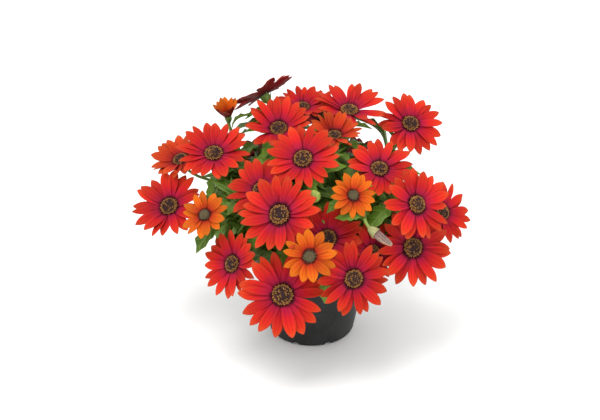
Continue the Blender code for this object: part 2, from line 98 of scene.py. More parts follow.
# Stems and leaves, as the solids have them
STEM_RADIUS = 4.5 * MM
STEM_FOOT = 45 * MM
STEM_HEAD = 96 * MM
SHOOT_BEARINGS = (-22, 25, 70, 115, 160, 205, 250, 295)
SHOOT_SINK = 8 * MM
SHOOT_REACH = 48 * MM
SHOOT_TOP = 124 * MM
SHOOT_LIFT = 6 * MM
SHOOT_DIP = 18 * MM
SHOOT_RADIUS = 2.2 * MM
CENTRAL_SHOOT_HEAD = (2 * MM, 4 * MM, 142 * MM)
STALK_RADIUS = 1.3 * MM
STALK_TAPER = 1.2
STALK_CLEARANCE = 2.4 * MM
STALK_ROOTS = (0.95, 0.75, 0.55)
STALK_STAND_OFFS = (34 * MM, 22 * MM, 50 * MM)
STALK_SWAYS = (0, 14 * MM, 26 * MM)
STALK_BENDS = 6
NEAR_SHOOTS = 5
CALYX_LENGTH = 8 * MM
LEAF_SPACING = 43 * MM
LEAF_CLEARANCE = 2.4 * MM
FILLING_CLEARANCE = 1.0 * MM
MOST_LEAF_REACH = 95 * MM
LEAVES_SEED = 11
LEAF_OUTLINE = ((0.0, 0.025), (0.52, 0.17), (0.64, 0.115), (0.77, 0.155), (1.0, 0.0))
SHOWN_LEAF_TIPS = (
    (-99, -62, 110),
    (-91, -55, 124),
    (-84, -30, 162),
    (-68, -40, 158),
    (28, -40, 181),
    (61, -58, 152),
    (-52, -78, 121),
    (-42, -80, 133),
    (9, -84, 72),
    (46, -78, 140),
    (-46, -10, 176),
)
SHOWN_LEAF_LENGTH = 44 * MM
SHOWN_LEAF_ROOTS = 80

# Where leaves that fill the plant may end: how far from its middle line, and from what height up
# to a height that falls off outwards
INNER_REACH = 84 * MM
INNER_FLOOR = 90 * MM
INNER_TOP = 176 * MM
INNER_SLOPE = 0.30
INNER_DROOP = 0.12

# A bloom: its colour, width across and place, the unit vector it faces along, and the rise of its
# petals in radians
Bloom = collections.namedtuple("Bloom", "name colour across place axis cup")

# Forms that petals take: how far the tip droops and sways, how deep the blade is channelled, and
# its twist in degrees
PetalForm = collections.namedtuple("PetalForm", "droop sway channel twist")
PETAL_FORMS = (
    PetalForm(0.05, 0.00, 0.030, 0),
    PetalForm(0.09, 0.16, 0.042, 9),
    PetalForm(0.02, -0.12, 0.020, -7),
    PetalForm(0.12, 0.08, -0.018, -12),
    PetalForm(0.00, -0.20, 0.034, 14),
)
FURLED_FORMS = (PetalForm(-0.20, 0.0, 0.10, 8), PetalForm(-0.25, 0.1, 0.12, -10))
BRACT_FORMS = (PetalForm(-0.10, 0.0, -0.04, 0), PetalForm(-0.04, 0.12, -0.03, 6))

# How wide each kind of blade is along its length: at its foot, where it is widest, and how blunt
# its tip is
Blade = collections.namedtuple("Blade", "foot widest bluntness")
BROAD_PETAL = Blade(0.48, 0.60, 0.80)
SLENDER_PETAL = Blade(0.44, 0.56, 0.84)
BRACT = Blade(0.75, 0.30, 0.95)
TIP_ROUNDNESS = 2.2

# Faces along a blade and across it
PETAL_SPANS = (10, 6)
BRACT_SPANS = (7, 2)
LEAF_SPANS = (11, 2)

PETAL_GROOVE = 0.013
PETAL_WIDTH_TO_LENGTH = 0.34
BLADE_THICKNESS = 0.013

# Where petals start, as a share of the hub, and how far the florets spread, as a share of the eye
PETAL_FOOT = 0.62
EYE_SPREAD = 0.88

# Which florets open by chance inside an eye: those with a shade and a distance out over these
STRAY_FROM = 0.76
STRAY_ZONE = 0.2

# Florets as rings of radius and height
CLOSED_FLORET = ((0.75, -0.8), (0.95, 0.5), (0.72, 1.15), (0.25, 1.5))
OPEN_FLORET = ((0.55, -0.8), (0.50, 0.9), (1.05, 1.5), (0.75, 1.95), (0.30, 2.2))

# The pot and the soil, besides what can be changed in the panel
RIM_BAND = 12 * MM
RIM_STEP = 1.8 * MM
POT_CORNER = 2.5 * MM
POT_FLOOR = 1.6 * MM
NOTCHES = 8
NOTCH_RADIUS = 3.5 * MM
SOIL_EDGE_DROP = 2 * MM
SOIL_RINGS = 12
SOIL_BUMP = 1.2 * MM

# Tones of the soil: where its mottling has them, and how bright they are beside its own colour
SOIL_TONES = ((0.32, 0.45), (0.52, 1.0), (0.72, 2.4))


def colour_of(name, description, default):
    return FloatVectorProperty(
        name=name, description=description, default=default, subtype="COLOR", size=3, min=0, max=1
    )


def length_of(name, description, default):
    return FloatProperty(name=name, description=description, default=default, unit="LENGTH", min=0)


def share_of(name, description, default):
    return FloatProperty(name=name, description=description, default=default, subtype="FACTOR", min=0)


def number_of(name, description, default):
    return FloatProperty(name=name, description=description, default=default, min=0)


def count_of(name, description, default):
    return IntProperty(name=name, description=description, default=default, min=0)


class PetalLooks(bpy.types.PropertyGroup):
    """Petals of the open blooms."""

    red_count: count_of("Red petals", "Petals in a red bloom", 18)
    orange_count: count_of("Orange petals", "Petals in an orange bloom", 13)
    red_width: share_of("Red width", "Petal width as a share of its room in the ring", 1.20)
    orange_width: share_of("Orange width", "Petal width as a share of its room in the ring", 1.08)
    disorder: share_of("Disorder", "How unevenly the petals lie", 1.0)
    # The foot colours of each kind are partly the petals' own dark ring and partly painted shade where the
    # petals meet the eye.
    red_foot: colour_of("Red foot", "Red petals against the eye", (0.035, 0.001, 0.008))
    red_heart: colour_of("Red heart", "Red petals near the eye", (0.34, 0.0040, 0.036))
    red_middle: colour_of("Red middle", "Red petals half way", (0.53, 0.0080, 0.0120))
    red_outer: colour_of("Red outer", "Red petals further out", (0.60, 0.0260, 0.0055))
    red_tip: colour_of("Red tip", "Red petals at tip and edge", (0.64, 0.085, 0.024))
    warm_foot: colour_of("Orange-red foot", "Orange-red petals against the eye", (0.06, 0.004, 0.006))
    warm_heart: colour_of("Orange-red heart", "Orange-red petals near the eye", (0.33, 0.010, 0.010))
    warm_middle: colour_of("Orange-red middle", "Orange-red petals half way", (0.50, 0.028, 0.005))
    warm_outer: colour_of("Orange-red outer", "Orange-red petals further out", (0.56, 0.055, 0.006))
    warm_tip: colour_of("Orange-red tip", "Orange-red petals at the tip", (0.60, 0.11, 0.020))
    orange_foot: colour_of("Orange foot", "Orange petals against the eye", (0.12, 0.010, 0.006))
    orange_heart: colour_of("Orange heart", "Orange petals near the eye", (0.46, 0.030, 0.004))
    orange_middle: colour_of("Orange middle", "Orange petals half way", (0.60, 0.085, 0.003))
    orange_outer: colour_of("Orange outer", "Orange petals further out", (0.65, 0.135, 0.004))
    orange_tip: colour_of("Orange tip", "Orange petals at the tip", (0.68, 0.190, 0.010))
    underside: colour_of("Underside", "The back of a petal", (0.22, 0.012, 0.014))


class EyeLooks(bpy.types.PropertyGroup):
    """Discs of florets."""

    florets: count_of("Florets", "Florets in a disc", 170)
    gold: colour_of("Gold", "Open florets with their pollen", (0.38, 0.165, 0.030))
    dark: colour_of("Dark", "Florets between", (0.040, 0.010, 0.006))
    centre: colour_of("Centre", "Closed florets in the middle", (0.050, 0.018, 0.020))
    olive: colour_of("Olive", "Closed florets of the orange blooms", (0.16, 0.12, 0.055))


class LeafLooks(bpy.types.PropertyGroup):
    """Leaves, stems and bracts."""

    shortest: length_of("Shortest", "Length of the shortest leaf", 40 * MM)
    longest: length_of("Longest", "Length of the longest leaf", 58 * MM)
    filling_spacing: length_of("Filling spacing", "Between leaves that fill the plant", 5 * MM)
    filling_shortest: length_of("Filling shortest", "Length of the shortest filling leaf", 24 * MM)
    filling_longest: length_of("Filling longest", "Length of the longest filling leaf", 42 * MM)
    inner_tries: count_of("Inner tries", "Places tried for leaves between the blooms", 650)
    # Painted shade: the dark leaf colour stands for leaves in the shade.
    dark: colour_of("Dark leaf", "Leaves in the shade", (0.018, 0.058, 0.004))
    bright: colour_of("Bright leaf", "Young leaves", (0.160, 0.290, 0.014))
    rib: colour_of("Rib", "Ribs and rims of leaves", (0.27, 0.36, 0.065))
    stem: colour_of("Stem", "Stalks and bracts", (0.24, 0.33, 0.065))
    old_stem: colour_of("Old stem", "Stems near the soil", (0.12, 0.11, 0.045))
    bud: colour_of("Bud", "The closed bud", (0.27, 0.35, 0.045))
    bud_rib: colour_of("Bud rib", "Ribs of the closed bud", (0.52, 0.50, 0.10))
    pale_bract: colour_of("Pale bract", "Bracts of the closed bloom", (0.44, 0.43, 0.16))
    cream: colour_of("Cream", "Backs of the furled petals", (0.62, 0.50, 0.32))
    stripe: colour_of("Stripe", "Stripes on the furled petals", (0.10, 0.026, 0.040))


class PotLooks(bpy.types.PropertyGroup):
    """The nursery pot and its soil."""

    height: length_of("Height", "Height of the pot", 92 * MM)
    rim_radius: length_of("Rim radius", "Outside of the rim", 55 * MM)
    base_radius: length_of("Base radius", "Outside of the foot", 38 * MM)
    wall: length_of("Wall", "Thickness of the wall", 1.2 * MM)
    plastic: colour_of("Plastic", "Colour of the pot", (0.007, 0.008, 0.007))
    soil_top: length_of("Soil top", "Height of the soil", 80 * MM)
    crumbs: number_of("Crumbs", "Crumbs on a square metre", 60000)
    earth: colour_of("Earth", "Colour of moist soil", (0.040, 0.024, 0.014))


class StageLooks(bpy.types.PropertyGroup):
    """Camera, lights and floor."""

    lens: number_of("Lens", "Focal length in mm", 85)
    distance: length_of("Distance", "From the camera to its target", 1.25)
    elevation: FloatProperty(
        name="Elevation", description="Camera above level", default=math.radians(27), subtype="ANGLE"
    )
    target: FloatVectorProperty(
        name="Target", description="What the camera looks at", default=(-0.0106, 0, 0.1182), unit="LENGTH"
    )
    key: number_of("Key", "Watts of the main light", 20)
    fill: number_of("Fill", "Watts of the second light", 3)
    sky: number_of("Sky", "Strength of the light all round", 1.2)
    floor: colour_of("Floor", "Colour of the floor", (0.96, 0.96, 0.96))


# Node trees in general


class Value:
    """What a node puts out. Arithmetic on it adds nodes to the same tree."""

    def __init__(self, tree, socket):
        self.tree = tree
        self.socket = socket

    def __add__(self, other):
        return maths("ADD", self, other)

    def __sub__(self, other):
        return maths("SUBTRACT", self, other)

    def __rsub__(self, other):
        return maths("SUBTRACT", other, self)

    def __mul__(self, other):
        return maths("MULTIPLY", self, other)

    def __truediv__(self, other):
        return maths("DIVIDE", self, other)

    def __rtruediv__(self, other):
        return maths("DIVIDE", other, self)

    def __mod__(self, other):
        return maths("MODULO", self, other)

    def __pow__(self, other):
        return maths("POWER", self, other)

    def __gt__(self, other):
        return maths("GREATER_THAN", self, other)

    def __abs__(self):
        return maths("ABSOLUTE", self)


def connect(value, socket):
    """Gives a socket a plain value or what another node puts out."""
    if isinstance(value, Value):
        value.tree.links.new(value.socket, socket)
    else:
        socket.default_value = value


def add(tree, kind, inputs=None, output=0, **settings):
    """What a new node puts out. Its settings are made first, then its named or numbered inputs."""
    node = tree.nodes.new(kind)
    for name, value in settings.items():
        setattr(node, name, value)
    for socket, value in (inputs or {}).items():
        connect(value, node.inputs[socket])
    return Value(tree, node.outputs[output]) if node.outputs else None


def maths(operation, *values):
    """One step of arithmetic, in the tree of its values."""
    tree = next(value.tree for value in values if isinstance(value, Value))
    return add(tree, "ShaderNodeMath", dict(enumerate(values)), operation=operation)


def combined(tree, x, y, z):
    return add(tree, "ShaderNodeCombineXYZ", {0: x, 1: y, 2: z})


def parts_of(tree, vector):
    """The X, Y and Z of a vector."""
    node = add(tree, "ShaderNodeSeparateXYZ", {0: vector}).socket.node
    return [Value(tree, socket) for socket in node.outputs]


def chance(tree, low, high, seed):
    """A different number for each element, from low to high."""
    return add(tree, "FunctionNodeRandomValue", {2: low, 3: high, 8: seed}, output=1, data_type="FLOAT")


def attribute(tree, name, kind="FLOAT"):
    return add(tree, "GeometryNodeInputNamedAttribute", {"Name": name}, "Attribute", data_type=kind)


def stored(tree, geometry, name, value, domain="INSTANCE"):
    inputs = {"Geometry": geometry, "Name": name, "Value": value}
    return add(tree, "GeometryNodeStoreNamedAttribute", inputs, data_type="FLOAT", domain=domain)


def rotation(tree, angles):
    return add(tree, "FunctionNodeEulerToRotation", {0: angles})


def copies(tree, points, collection, picked, turn, size):
    """Objects of a collection, picked by number, as instances on points."""
    inputs = {"Collection": collection, "Separate Children": True, "Reset Children": True}
    inputs = {
        "Points": points,
        "Instance": add(tree, "GeometryNodeCollectionInfo", inputs),
        "Pick Instance": True,
        "Instance Index": picked,
        "Rotation": turn,
        "Scale": size,
    }
    return add(tree, "GeometryNodeInstanceOnPoints", inputs)


def together(tree, *pieces):
    """Several geometries as one."""
    node = tree.nodes.new("GeometryNodeJoinGeometry")
    for piece in pieces:
        connect(piece, node.inputs[0])
    return Value(tree, node.outputs[0])


def inputs_of(tree):
    """What the inputs of a tree put out, by name."""
    node = tree.nodes.new("NodeGroupInput")
    return {socket.name: Value(tree, socket) for socket in node.outputs}


def new_tree(name, sockets):
    """A Geometry Nodes tree with named inputs, and what they put out."""
    tree = bpy.data.node_groups.new(name, "GeometryNodeTree")
    for label, kind in sockets.items():
        tree.interface.new_socket(label, in_out="INPUT", socket_type=f"NodeSocket{kind}")
    tree.interface.new_socket("Geometry", in_out="OUTPUT", socket_type="NodeSocketGeometry")
    return tree, inputs_of(tree)


def finish_tree(tree, geometry, material):
    """Ends a tree in smooth real faces of one material."""
    real = add(tree, "GeometryNodeRealizeInstances", {0: geometry})
    smooth = add(tree, "GeometryNodeSetShadeSmooth", {0: real})
    add(tree, "NodeGroupOutput", {0: add(tree, "GeometryNodeSetMaterial", {0: smooth, "Material": material})})
    return tree


# Objects in general


def new_object(name, data):
    made = bpy.data.objects.new(name, data)
    bpy.context.scene.collection.objects.link(made)
    return made


def object_of(shape, name):
    """Ends a shape in the making as a new object."""
    mesh = bpy.data.meshes.new(name)
    shape.to_mesh(mesh)
    shape.free()
    return new_object(name, mesh)


def plain_copy(item, name):
    """A new object with the evaluated shape of another, which is removed."""
    bpy.context.view_layer.update()
    graph = bpy.context.evaluated_depsgraph_get()
    mesh = bpy.data.meshes.new_from_object(
        item.evaluated_get(graph), preserve_all_data_layers=True, depsgraph=graph
    )
    mesh.name = name
    bpy.data.objects.remove(item, do_unlink=True)
    return new_object(name, mesh)


def grown(name, tree, values, source=None):
    """The result of a tree as a plain mesh object, from the values of its named inputs."""
    maker = new_object(name + "_maker", source or bpy.data.meshes.new(name + "_maker"))
    growth = maker.modifiers.new(tree.name, "NODES")
    growth.node_group = tree
    for socket in tree.interface.items_tree:
        if socket.in_out == "INPUT" and socket.name in values:
            growth[socket.identifier] = values[socket.name]
    return plain_copy(maker, name)


def helper_group(name, items):
    """A collection of objects that trees copy. It leaves the scene with discard."""
    group = bpy.data.collections.new(name)
    bpy.context.scene.collection.children.link(group)
    for item in items:
        bpy.context.scene.collection.objects.unlink(item)
        group.objects.link(item)
        item.hide_render = True
    return group


def discard(*groups):
    for group in groups:
        for item in list(group.objects):
            bpy.data.objects.remove(item, do_unlink=True)
        bpy.data.collections.remove(group)


def joined(name, items):
    """Several objects made one."""
    first = items[0]
    with bpy.context.temp_override(
        active_object=first, object=first, selected_objects=items, selected_editable_objects=items
    ):
        bpy.ops.object.join()
    first.name = name
    return first


def hand_over(item, slot, *nodes):
    """Makes a finished piece stand for its solids."""
    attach(item, "root")
    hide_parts(*nodes)


# Shader groups that several materials share


def shader_group(name, inputs, output):
    """An empty shader group of numbers, and what its named inputs put out."""
    tree = bpy.data.node_groups.new(name, "ShaderNodeTree")
    for label, default in inputs.items():
        socket = tree.interface.new_socket(label, in_out="INPUT", socket_type="NodeSocketFloat")
        socket.default_value = default
    tree.interface.new_socket(output, in_out="OUTPUT", socket_type="NodeSocketFloat")
    return tree, inputs_of(tree)


@functools.cache
def mottling():
    """Soft patches with a finer grain in them, from 0 to 1, in the object's own coordinates."""
    tree, given = shader_group("soft mottling", {"Scale": 100.0, "Grain": 0.3}, "Value")
    place = add(tree, "ShaderNodeTexCoord", output="Object")
    patches = add(tree, "ShaderNodeTexNoise", {"Vector": place, "Scale": given["Scale"], "Detail": 3.0})
    grain = add(tree, "ShaderNodeTexNoise", {"Vector": place, "Scale": given["Scale"] * 7.0, "Detail": 2.0})
    mixed = add(tree, "ShaderNodeMix", {0: given["Grain"], 2: patches, 3: grain}, data_type="FLOAT")
    add(tree, "NodeGroupOutput", {0: mixed})
    return tree


@functools.cache
def veining():
    """Thin lines that run along a blade, from its place across (0 to 1), with a slight waver."""
    inputs = {"Across": 0.0, "Along": 0.0, "Count": 6.0, "Waver": 0.4, "Fineness": 6.0}
    tree, given = shader_group("lengthwise veins", inputs, "Line")
    spot = combined(tree, given["Across"] * 3.0, given["Along"], 0.0)
    drift = add(tree, "ShaderNodeTexNoise", {"Vector": spot, "Scale": 3.0, "Detail": 1.0})
    phase = (given["Across"] * given["Count"] + drift * given["Waver"]) * math.pi
    add(tree, "NodeGroupOutput", {0: abs(maths("COSINE", phase)) ** given["Fineness"]})
    return tree


# Materials


def new_material(name):
    """A material and its node tree."""
    material = bpy.data.materials.new(name)
    material.use_nodes = True
    return material, material.node_tree


def dressed(material, colour, roughness, relief=None, depth=0.0, specular=0.5):
    """The material with its colour, roughness, specular level and a relief of some depth."""
    tree = material.node_tree
    shader = tree.nodes["Principled BSDF"]
    connect(colour, shader.inputs["Base Color"])
    connect(roughness, shader.inputs["Roughness"])
    connect(specular, shader.inputs["Specular IOR Level"])
    if relief is not None:
        inputs = {"Height": relief, "Distance": depth, "Strength": 1.0}
        connect(add(tree, "ShaderNodeBump", inputs), shader.inputs["Normal"])
    return material


def solid(colour):
    return (*colour, 1)


def mix_colour(tree, factor, first, second, blend="MIX"):
    inputs = {0: factor, 6: first, 7: second}
    return add(tree, "ShaderNodeMix", inputs, output=2, data_type="RGBA", blend_type=blend)


def brightened(tree, colour, level):
    return add(tree, "ShaderNodeHueSaturation", {"Color": colour, "Value": level})


def ramp(tree, value, stops):
    """A colour that changes along a value, from pairs of place and colour."""
    painted = add(tree, "ShaderNodeValToRGB", {0: value})
    band = painted.socket.node.color_ramp
    for index, (place, colour) in enumerate(stops):
        stop = band.elements[index] if index < 2 else band.elements.new(place)
        stop.position = place
        stop.color = solid(colour)
    return painted


def mottles(tree, scale, grain):
    return add(tree, "ShaderNodeGroup", {"Scale": scale, "Grain": grain}, node_tree=mottling())


def veins(tree, across, along, count, waver, fineness=6.0):
    inputs = {"Across": across, "Along": along, "Count": count, "Waver": waver, "Fineness": fineness}
    return add(tree, "ShaderNodeGroup", inputs, node_tree=veining())


def blade_place(tree):
    """Across and along a blade, both from 0 to 1."""
    return parts_of(tree, add(tree, "ShaderNodeUVMap", uv_map="petal_uv"))[:2]


def object_height(tree):
    return parts_of(tree, add(tree, "ShaderNodeTexCoord", output="Object"))[2]


def marked(tree, name):
    """A number that the mesh holds for each point."""
    return add(tree, "ShaderNodeAttribute", output="Fac", attribute_name=name)


def edge_of(across):
    """0 along the middle of a blade and 1 at its edges."""
    return abs(across - 0.5) * 2.0


def petal_material(name, stops, underside):
    """A petal: coloured from foot to tip, veined, with painted shade in its two creases and along its sides
    where petals meet, paler at its edge and dark behind.
    """
    material, tree = new_material(name)
    across, along = blade_place(tree)
    patches = mottles(tree, 90.0, 0.25)
    body = ramp(tree, along + (patches - 0.5) * 0.22, stops)
    lines = veins(tree, across, along, 9.0, 0.5)
    # Painted shade: this mask darkens the blade along its two creases and along its sides, where neighbouring
    # petals meet.
    crease_shade = veins(tree, across, along, 3.0, 0.1, 26.0)
    darker = mix_colour(tree, 1.0, body, (0.52, 0.34, 0.42, 1), "MULTIPLY")
    veined = mix_colour(tree, lines * 0.42, body, darker)
    grooved = mix_colour(tree, crease_shade * 0.60, veined, darker)
    rim = edge_of(across) ** 7.0 * (along * 0.55)
    rimmed = mix_colour(tree, rim, grooved, solid(stops[-1][1]))
    front = brightened(tree, rimmed, marked(tree, "petal_shade") * 0.36 + 0.80)
    back = mix_colour(tree, lines * 0.5, solid(underside), darker)
    colour = mix_colour(tree, marked(tree, "petal_back"), front, back)
    relief = lines * -0.5 + patches * 0.6
    return dressed(material, colour, patches * 0.2 + 0.48, relief, 0.25 * MM, specular=0.12)


def colour_stops(looks, kind):
    """The five colours of a petal, from its foot to its tip."""
    # The nearly black foot is partly the petals' own colour and partly painted shade against the eye.
    places = (("foot", 0.075), ("heart", 0.145), ("middle", 0.36), ("outer", 0.66), ("tip", 1.0))
    return tuple((place, tuple(getattr(looks, f"{kind}_{part}"))) for part, place in places)


def furled_material(looks):
    """Backs of furled petals: purple-brown, with cream edges, tips and fine stripes."""
    material, tree = new_material("furled petals")
    across, along = blade_place(tree)
    stripe = veins(tree, across, along, 3.0, 0.25, 16.0)
    pale = maths("MAXIMUM", maths("MAXIMUM", edge_of(across) ** 5.0, stripe), along**5.0)
    colour = mix_colour(tree, pale, solid(looks.stripe), solid(looks.cream))
    return dressed(material, colour, 0.55, stripe, 0.2 * MM)


def floret_material(name, stops, gold):
    """Florets: coloured from the middle of the eye outwards, with pollen on some tips."""
    material, tree = new_material(name)
    zone = marked(tree, "eye_zone")
    shade = marked(tree, "floret_shade")
    varied = brightened(tree, ramp(tree, zone, stops), shade * 0.7 + 0.65)
    pollen = (shade > STRAY_FROM) * 0.9 * (zone > STRAY_ZONE) * marked(tree, "floret_tip")
    colour = mix_colour(tree, pollen, varied, solid(gold))
    grain = mottles(tree, 900.0, 0.5)
    return dressed(material, brightened(tree, colour, grain * 0.8 + 0.6), 0.7, grain, 0.15 * MM)


def leaf_material(looks):
    """A leaf: green by its age and by painted shade, mixed at random per leaf, with a pale rib, side veins
    and rim, and a duller back.
    """
    material, tree = new_material("leaf")
    across, along = blade_place(tree)
    patches = mottles(tree, 60.0, 0.35)
    # Painted shade: the dark end of this mix is the colour of leaves in the shade. It is given at random,
    # beside real tone that differs with age.
    age_and_shade = marked(tree, "petal_shade") * 0.75 + patches * 0.3
    green = mix_colour(tree, age_and_shade, solid(looks.dark), solid(looks.bright))
    edge = edge_of(across)
    rib = (1.0 - edge) ** 14.0 * 0.75
    side_veins = abs(maths("COSINE", (along - edge * 0.14) * (7 * math.pi))) ** 24.0 * 0.35
    pale = maths("MAXIMUM", rib, side_veins)
    lines = maths("MAXIMUM", pale, edge**12.0 * 0.5)
    front = mix_colour(tree, lines, green, solid(looks.rib))
    back = mix_colour(tree, 0.4, front, solid(looks.rib))
    colour = mix_colour(tree, marked(tree, "petal_back"), front, back)
    relief = patches * 0.7 - pale
    return dressed(material, colour, patches * 0.25 + 0.34, relief, 0.6 * MM, specular=0.25)


def stem_material(looks):
    """Stalks: pale green above, browner near the soil, finely ridged."""
    material, tree = new_material("stem")
    youth = add(tree, "ShaderNodeMapRange", {0: object_height(tree), 1: 80 * MM, 2: 135 * MM})
    patches = mottles(tree, 120.0, 0.4)
    green = mix_colour(tree, youth, solid(looks.old_stem), solid(looks.stem))
    darker = mix_colour(tree, 1.0, green, (0.6, 0.66, 0.55, 1), "MULTIPLY")
    return dressed(material, mix_colour(tree, patches, green, darker), 0.5, patches, 0.3 * MM)


def bract_material(name, colour, rib):
    """Bracts and the bud: one green, with lengthwise veins."""
    material, tree = new_material(name)
    across, along = blade_place(tree)
    patches = mottles(tree, 150.0, 0.4)
    lines = veins(tree, across, along, 5.0, 0.3)
    darker = mix_colour(tree, 1.0, solid(colour), (0.5, 0.6, 0.5, 1), "MULTIPLY")
    mottled = mix_colour(tree, patches, solid(colour), darker)
    return dressed(material, mix_colour(tree, lines * 0.4, mottled, solid(rib)), 0.5, patches, 0.2 * MM)


def plastic_material(looks):
    """Black moulded plastic, faintly ribbed round by its mould, dusty in patches."""
    material, tree = new_material("pot plastic")
    rings = maths("SINE", object_height(tree) * (math.tau / (0.9 * MM)))
    dust = mottles(tree, 45.0, 0.4)
    dusty = tuple(0.6 * part + 0.022 for part in looks.plastic)
    patch = ramp(tree, dust, ((0.42, (0, 0, 0)), (0.75, (1, 1, 1))))
    colour = mix_colour(tree, patch, solid(looks.plastic), solid(dusty))
    relief = rings * 0.25 + dust
    return dressed(material, colour, dust * 0.25 + 0.38, relief, 0.12 * MM, specular=0.3)


def soil_material(looks):
    """Moist potting soil with paler bits."""
    material, tree = new_material("potting soil")
    patches = mottles(tree, 260.0, 0.5)
    stops = [(place, tuple(share * part for part in looks.earth)) for place, share in SOIL_TONES]
    return dressed(material, ramp(tree, patches, stops), 0.92, patches, 0.8 * MM)


def floor_material(colour):
    """A plain pale floor, very slightly uneven."""
    material, tree = new_material("floor")
    shade = tuple(0.985 * part for part in colour)
    return dressed(material, mix_colour(tree, mottles(tree, 3.0, 0.3), solid(colour), solid(shade)), 0.8)


# Blooms, read from their solids


def triangles_of(node):
    """The corners of a solid's triangles."""
    mesh = FRAME["nodes"][node].data
    mesh.calc_loop_triangles()
    return [[mesh.vertices[index].co for index in corner.vertices] for corner in mesh.loop_triangles]


def flat_base(node):
    """The area-weighted middle of a disc's flat base, the base's normal and its radius."""
    sides = collections.defaultdict(list)
    for a, b, c in triangles_of(node):
        cross = (b - a).cross(c - a)
        if cross.length > 0:
            normal = cross.normalized()
            sides[tuple(round(part, 1) for part in normal)].append((a, b, c, cross))
    base = max(sides.values(), key=lambda faces: sum(face[3].length for face in faces))
    area = sum(face[3].length for face in base)
    normal = sum((face[3] for face in base), Vector()).normalized()
    middle = sum(((a + b + c) / 3 * cross.length for a, b, c, cross in base), Vector()) / area
    radius = max((corner - middle).length for face in base for corner in face[:3])
    return middle, normal, radius


def slot_of(node):
    """The material slot that the record gives a node."""
    return next(part["material_slot"] for part in FRAME["record"]["subparts"] if part["node"] == node)


@functools.cache
def blooms():
    """Every open bloom, measured from its disc and its rays."""
    found = []
    names = sorted(node[:-5] for node in FRAME["nodes"] if node.endswith("_disc"))
    for name in names:
        middle, normal, radius = flat_base(f"{name}_disc")
        axis = -normal
        place = middle - axis * GAP
        across = radius / EYE_RADIUS
        points = [corner - place for corners in triangles_of(f"{name}_rays") for corner in corners]
        furthest = max(point.length for point in points)
        outer = [point for point in points if point.length > furthest * TIP_SHARE]
        rise = sum(point.dot(axis) for point in outer) / len(outer)
        length = across / 2 - across * EYE_RADIUS - HUB_MARGIN
        cup = math.asin(min(1, rise / length)) / CUP_KEPT
        found.append(Bloom(name, COLOUR_OF_SLOT[slot_of(f"{name}_rays")], across, place, axis, cup))
    return tuple(found)


def heading(turn_degrees, lift_degrees):
    """A unit vector turned from the front towards +X, and lifted from level."""
    turn = math.radians(turn_degrees)
    lift = math.radians(lift_degrees)
    level = math.cos(lift)
    return Vector((math.sin(turn) * level, -math.cos(turn) * level, math.sin(lift)))


CLOSED_BLOOM = Bloom("closed", "closed", 46 * MM, Vector((52, -98, 146)) * MM, heading(58, -26), 0)
BUD = Bloom("bud", "bud", 8 * MM, Vector((1, -77, 170)) * MM, heading(10, 40), 0)


def hub_radius(bloom):
    return bloom.across * EYE_RADIUS + HUB_MARGIN


def standing_at(bloom):
    """The matrix that puts something from the origin on a bloom's place, +Z along its axis."""
    turn = bloom.axis.to_track_quat("Z", "Y").to_matrix().to_4x4()
    return Matrix.Translation(bloom.place) @ turn


# Petals


def half_width(blade, share):
    """Half the width of a blade at a share of its length, where the widest is 1."""
    if share < blade.widest:
        return blade.foot + (1 - blade.foot) * math.sin(math.pi / 2 * share / blade.widest)
    tip = (share - blade.widest) / (1 - blade.widest)
    return max(0, 1 - tip**TIP_ROUNDNESS) ** blade.bluntness


def close_blade(name, shape, thickness):
    """Gives an open blade its thickness, marks its back and makes it an object."""
    bmesh.ops.remove_doubles(shape, verts=shape.verts, dist=1e-6)
    bmesh.ops.recalc_face_normals(shape, faces=shape.faces)
    if sum(face.normal.z * face.calc_area() for face in shape.faces) < 0:
        bmesh.ops.reverse_faces(shape, faces=shape.faces)
    bmesh.ops.solidify(shape, geom=shape.faces, thickness=thickness)
    bmesh.ops.recalc_face_normals(shape, faces=shape.faces)
    shape.normal_update()
    back = shape.verts.layers.float.new("petal_back")
    for vertex in shape.verts:
        vertex[back] = 1.0 if vertex.normal.z < 0 else 0.0
    return object_of(shape, name)


def blade_grid(spans_along, spans_across):
    """A flat grid with its own UV map: across along U and length along V."""
    shape = bmesh.new()
    shape.loops.layers.uv.new("petal_uv")
    bmesh.ops.create_grid(shape, x_segments=spans_across, y_segments=spans_along, size=1, calc_uvs=True)
    return shape


def make_petal(name, blade, form, spans):
    """One petal of unit length and width along +X, grooved lengthwise, with a rounded tip."""
    shape = blade_grid(*spans)
    for vertex in shape.verts:
        side = vertex.co.x
        share = 1 - (1 - (vertex.co.y + 1) / 2) ** 1.5
        width = half_width(blade, share)
        groove = PETAL_GROOVE if abs(abs(side) - 1 / 3) < 0.05 else 0
        across = side * width / 2
        height = form.channel * side * side * width
        height -= form.droop * share**2.2 + groove * math.sin(math.pi * min(1, share * 1.1))
        height += math.sin(math.radians(form.twist) * share) * across * PETAL_WIDTH_TO_LENGTH
        height += 0.008 * side * math.sin(share * 8 + form.twist)
        vertex.co = (share, across + form.sway * share * share, height)
    return close_blade(name, shape, BLADE_THICKNESS)


def petal_group(name, blade, forms, spans=PETAL_SPANS):
    items = [make_petal(f"{name}_{index}", blade, form, spans) for index, form in enumerate(forms)]
    return helper_group(name, items)


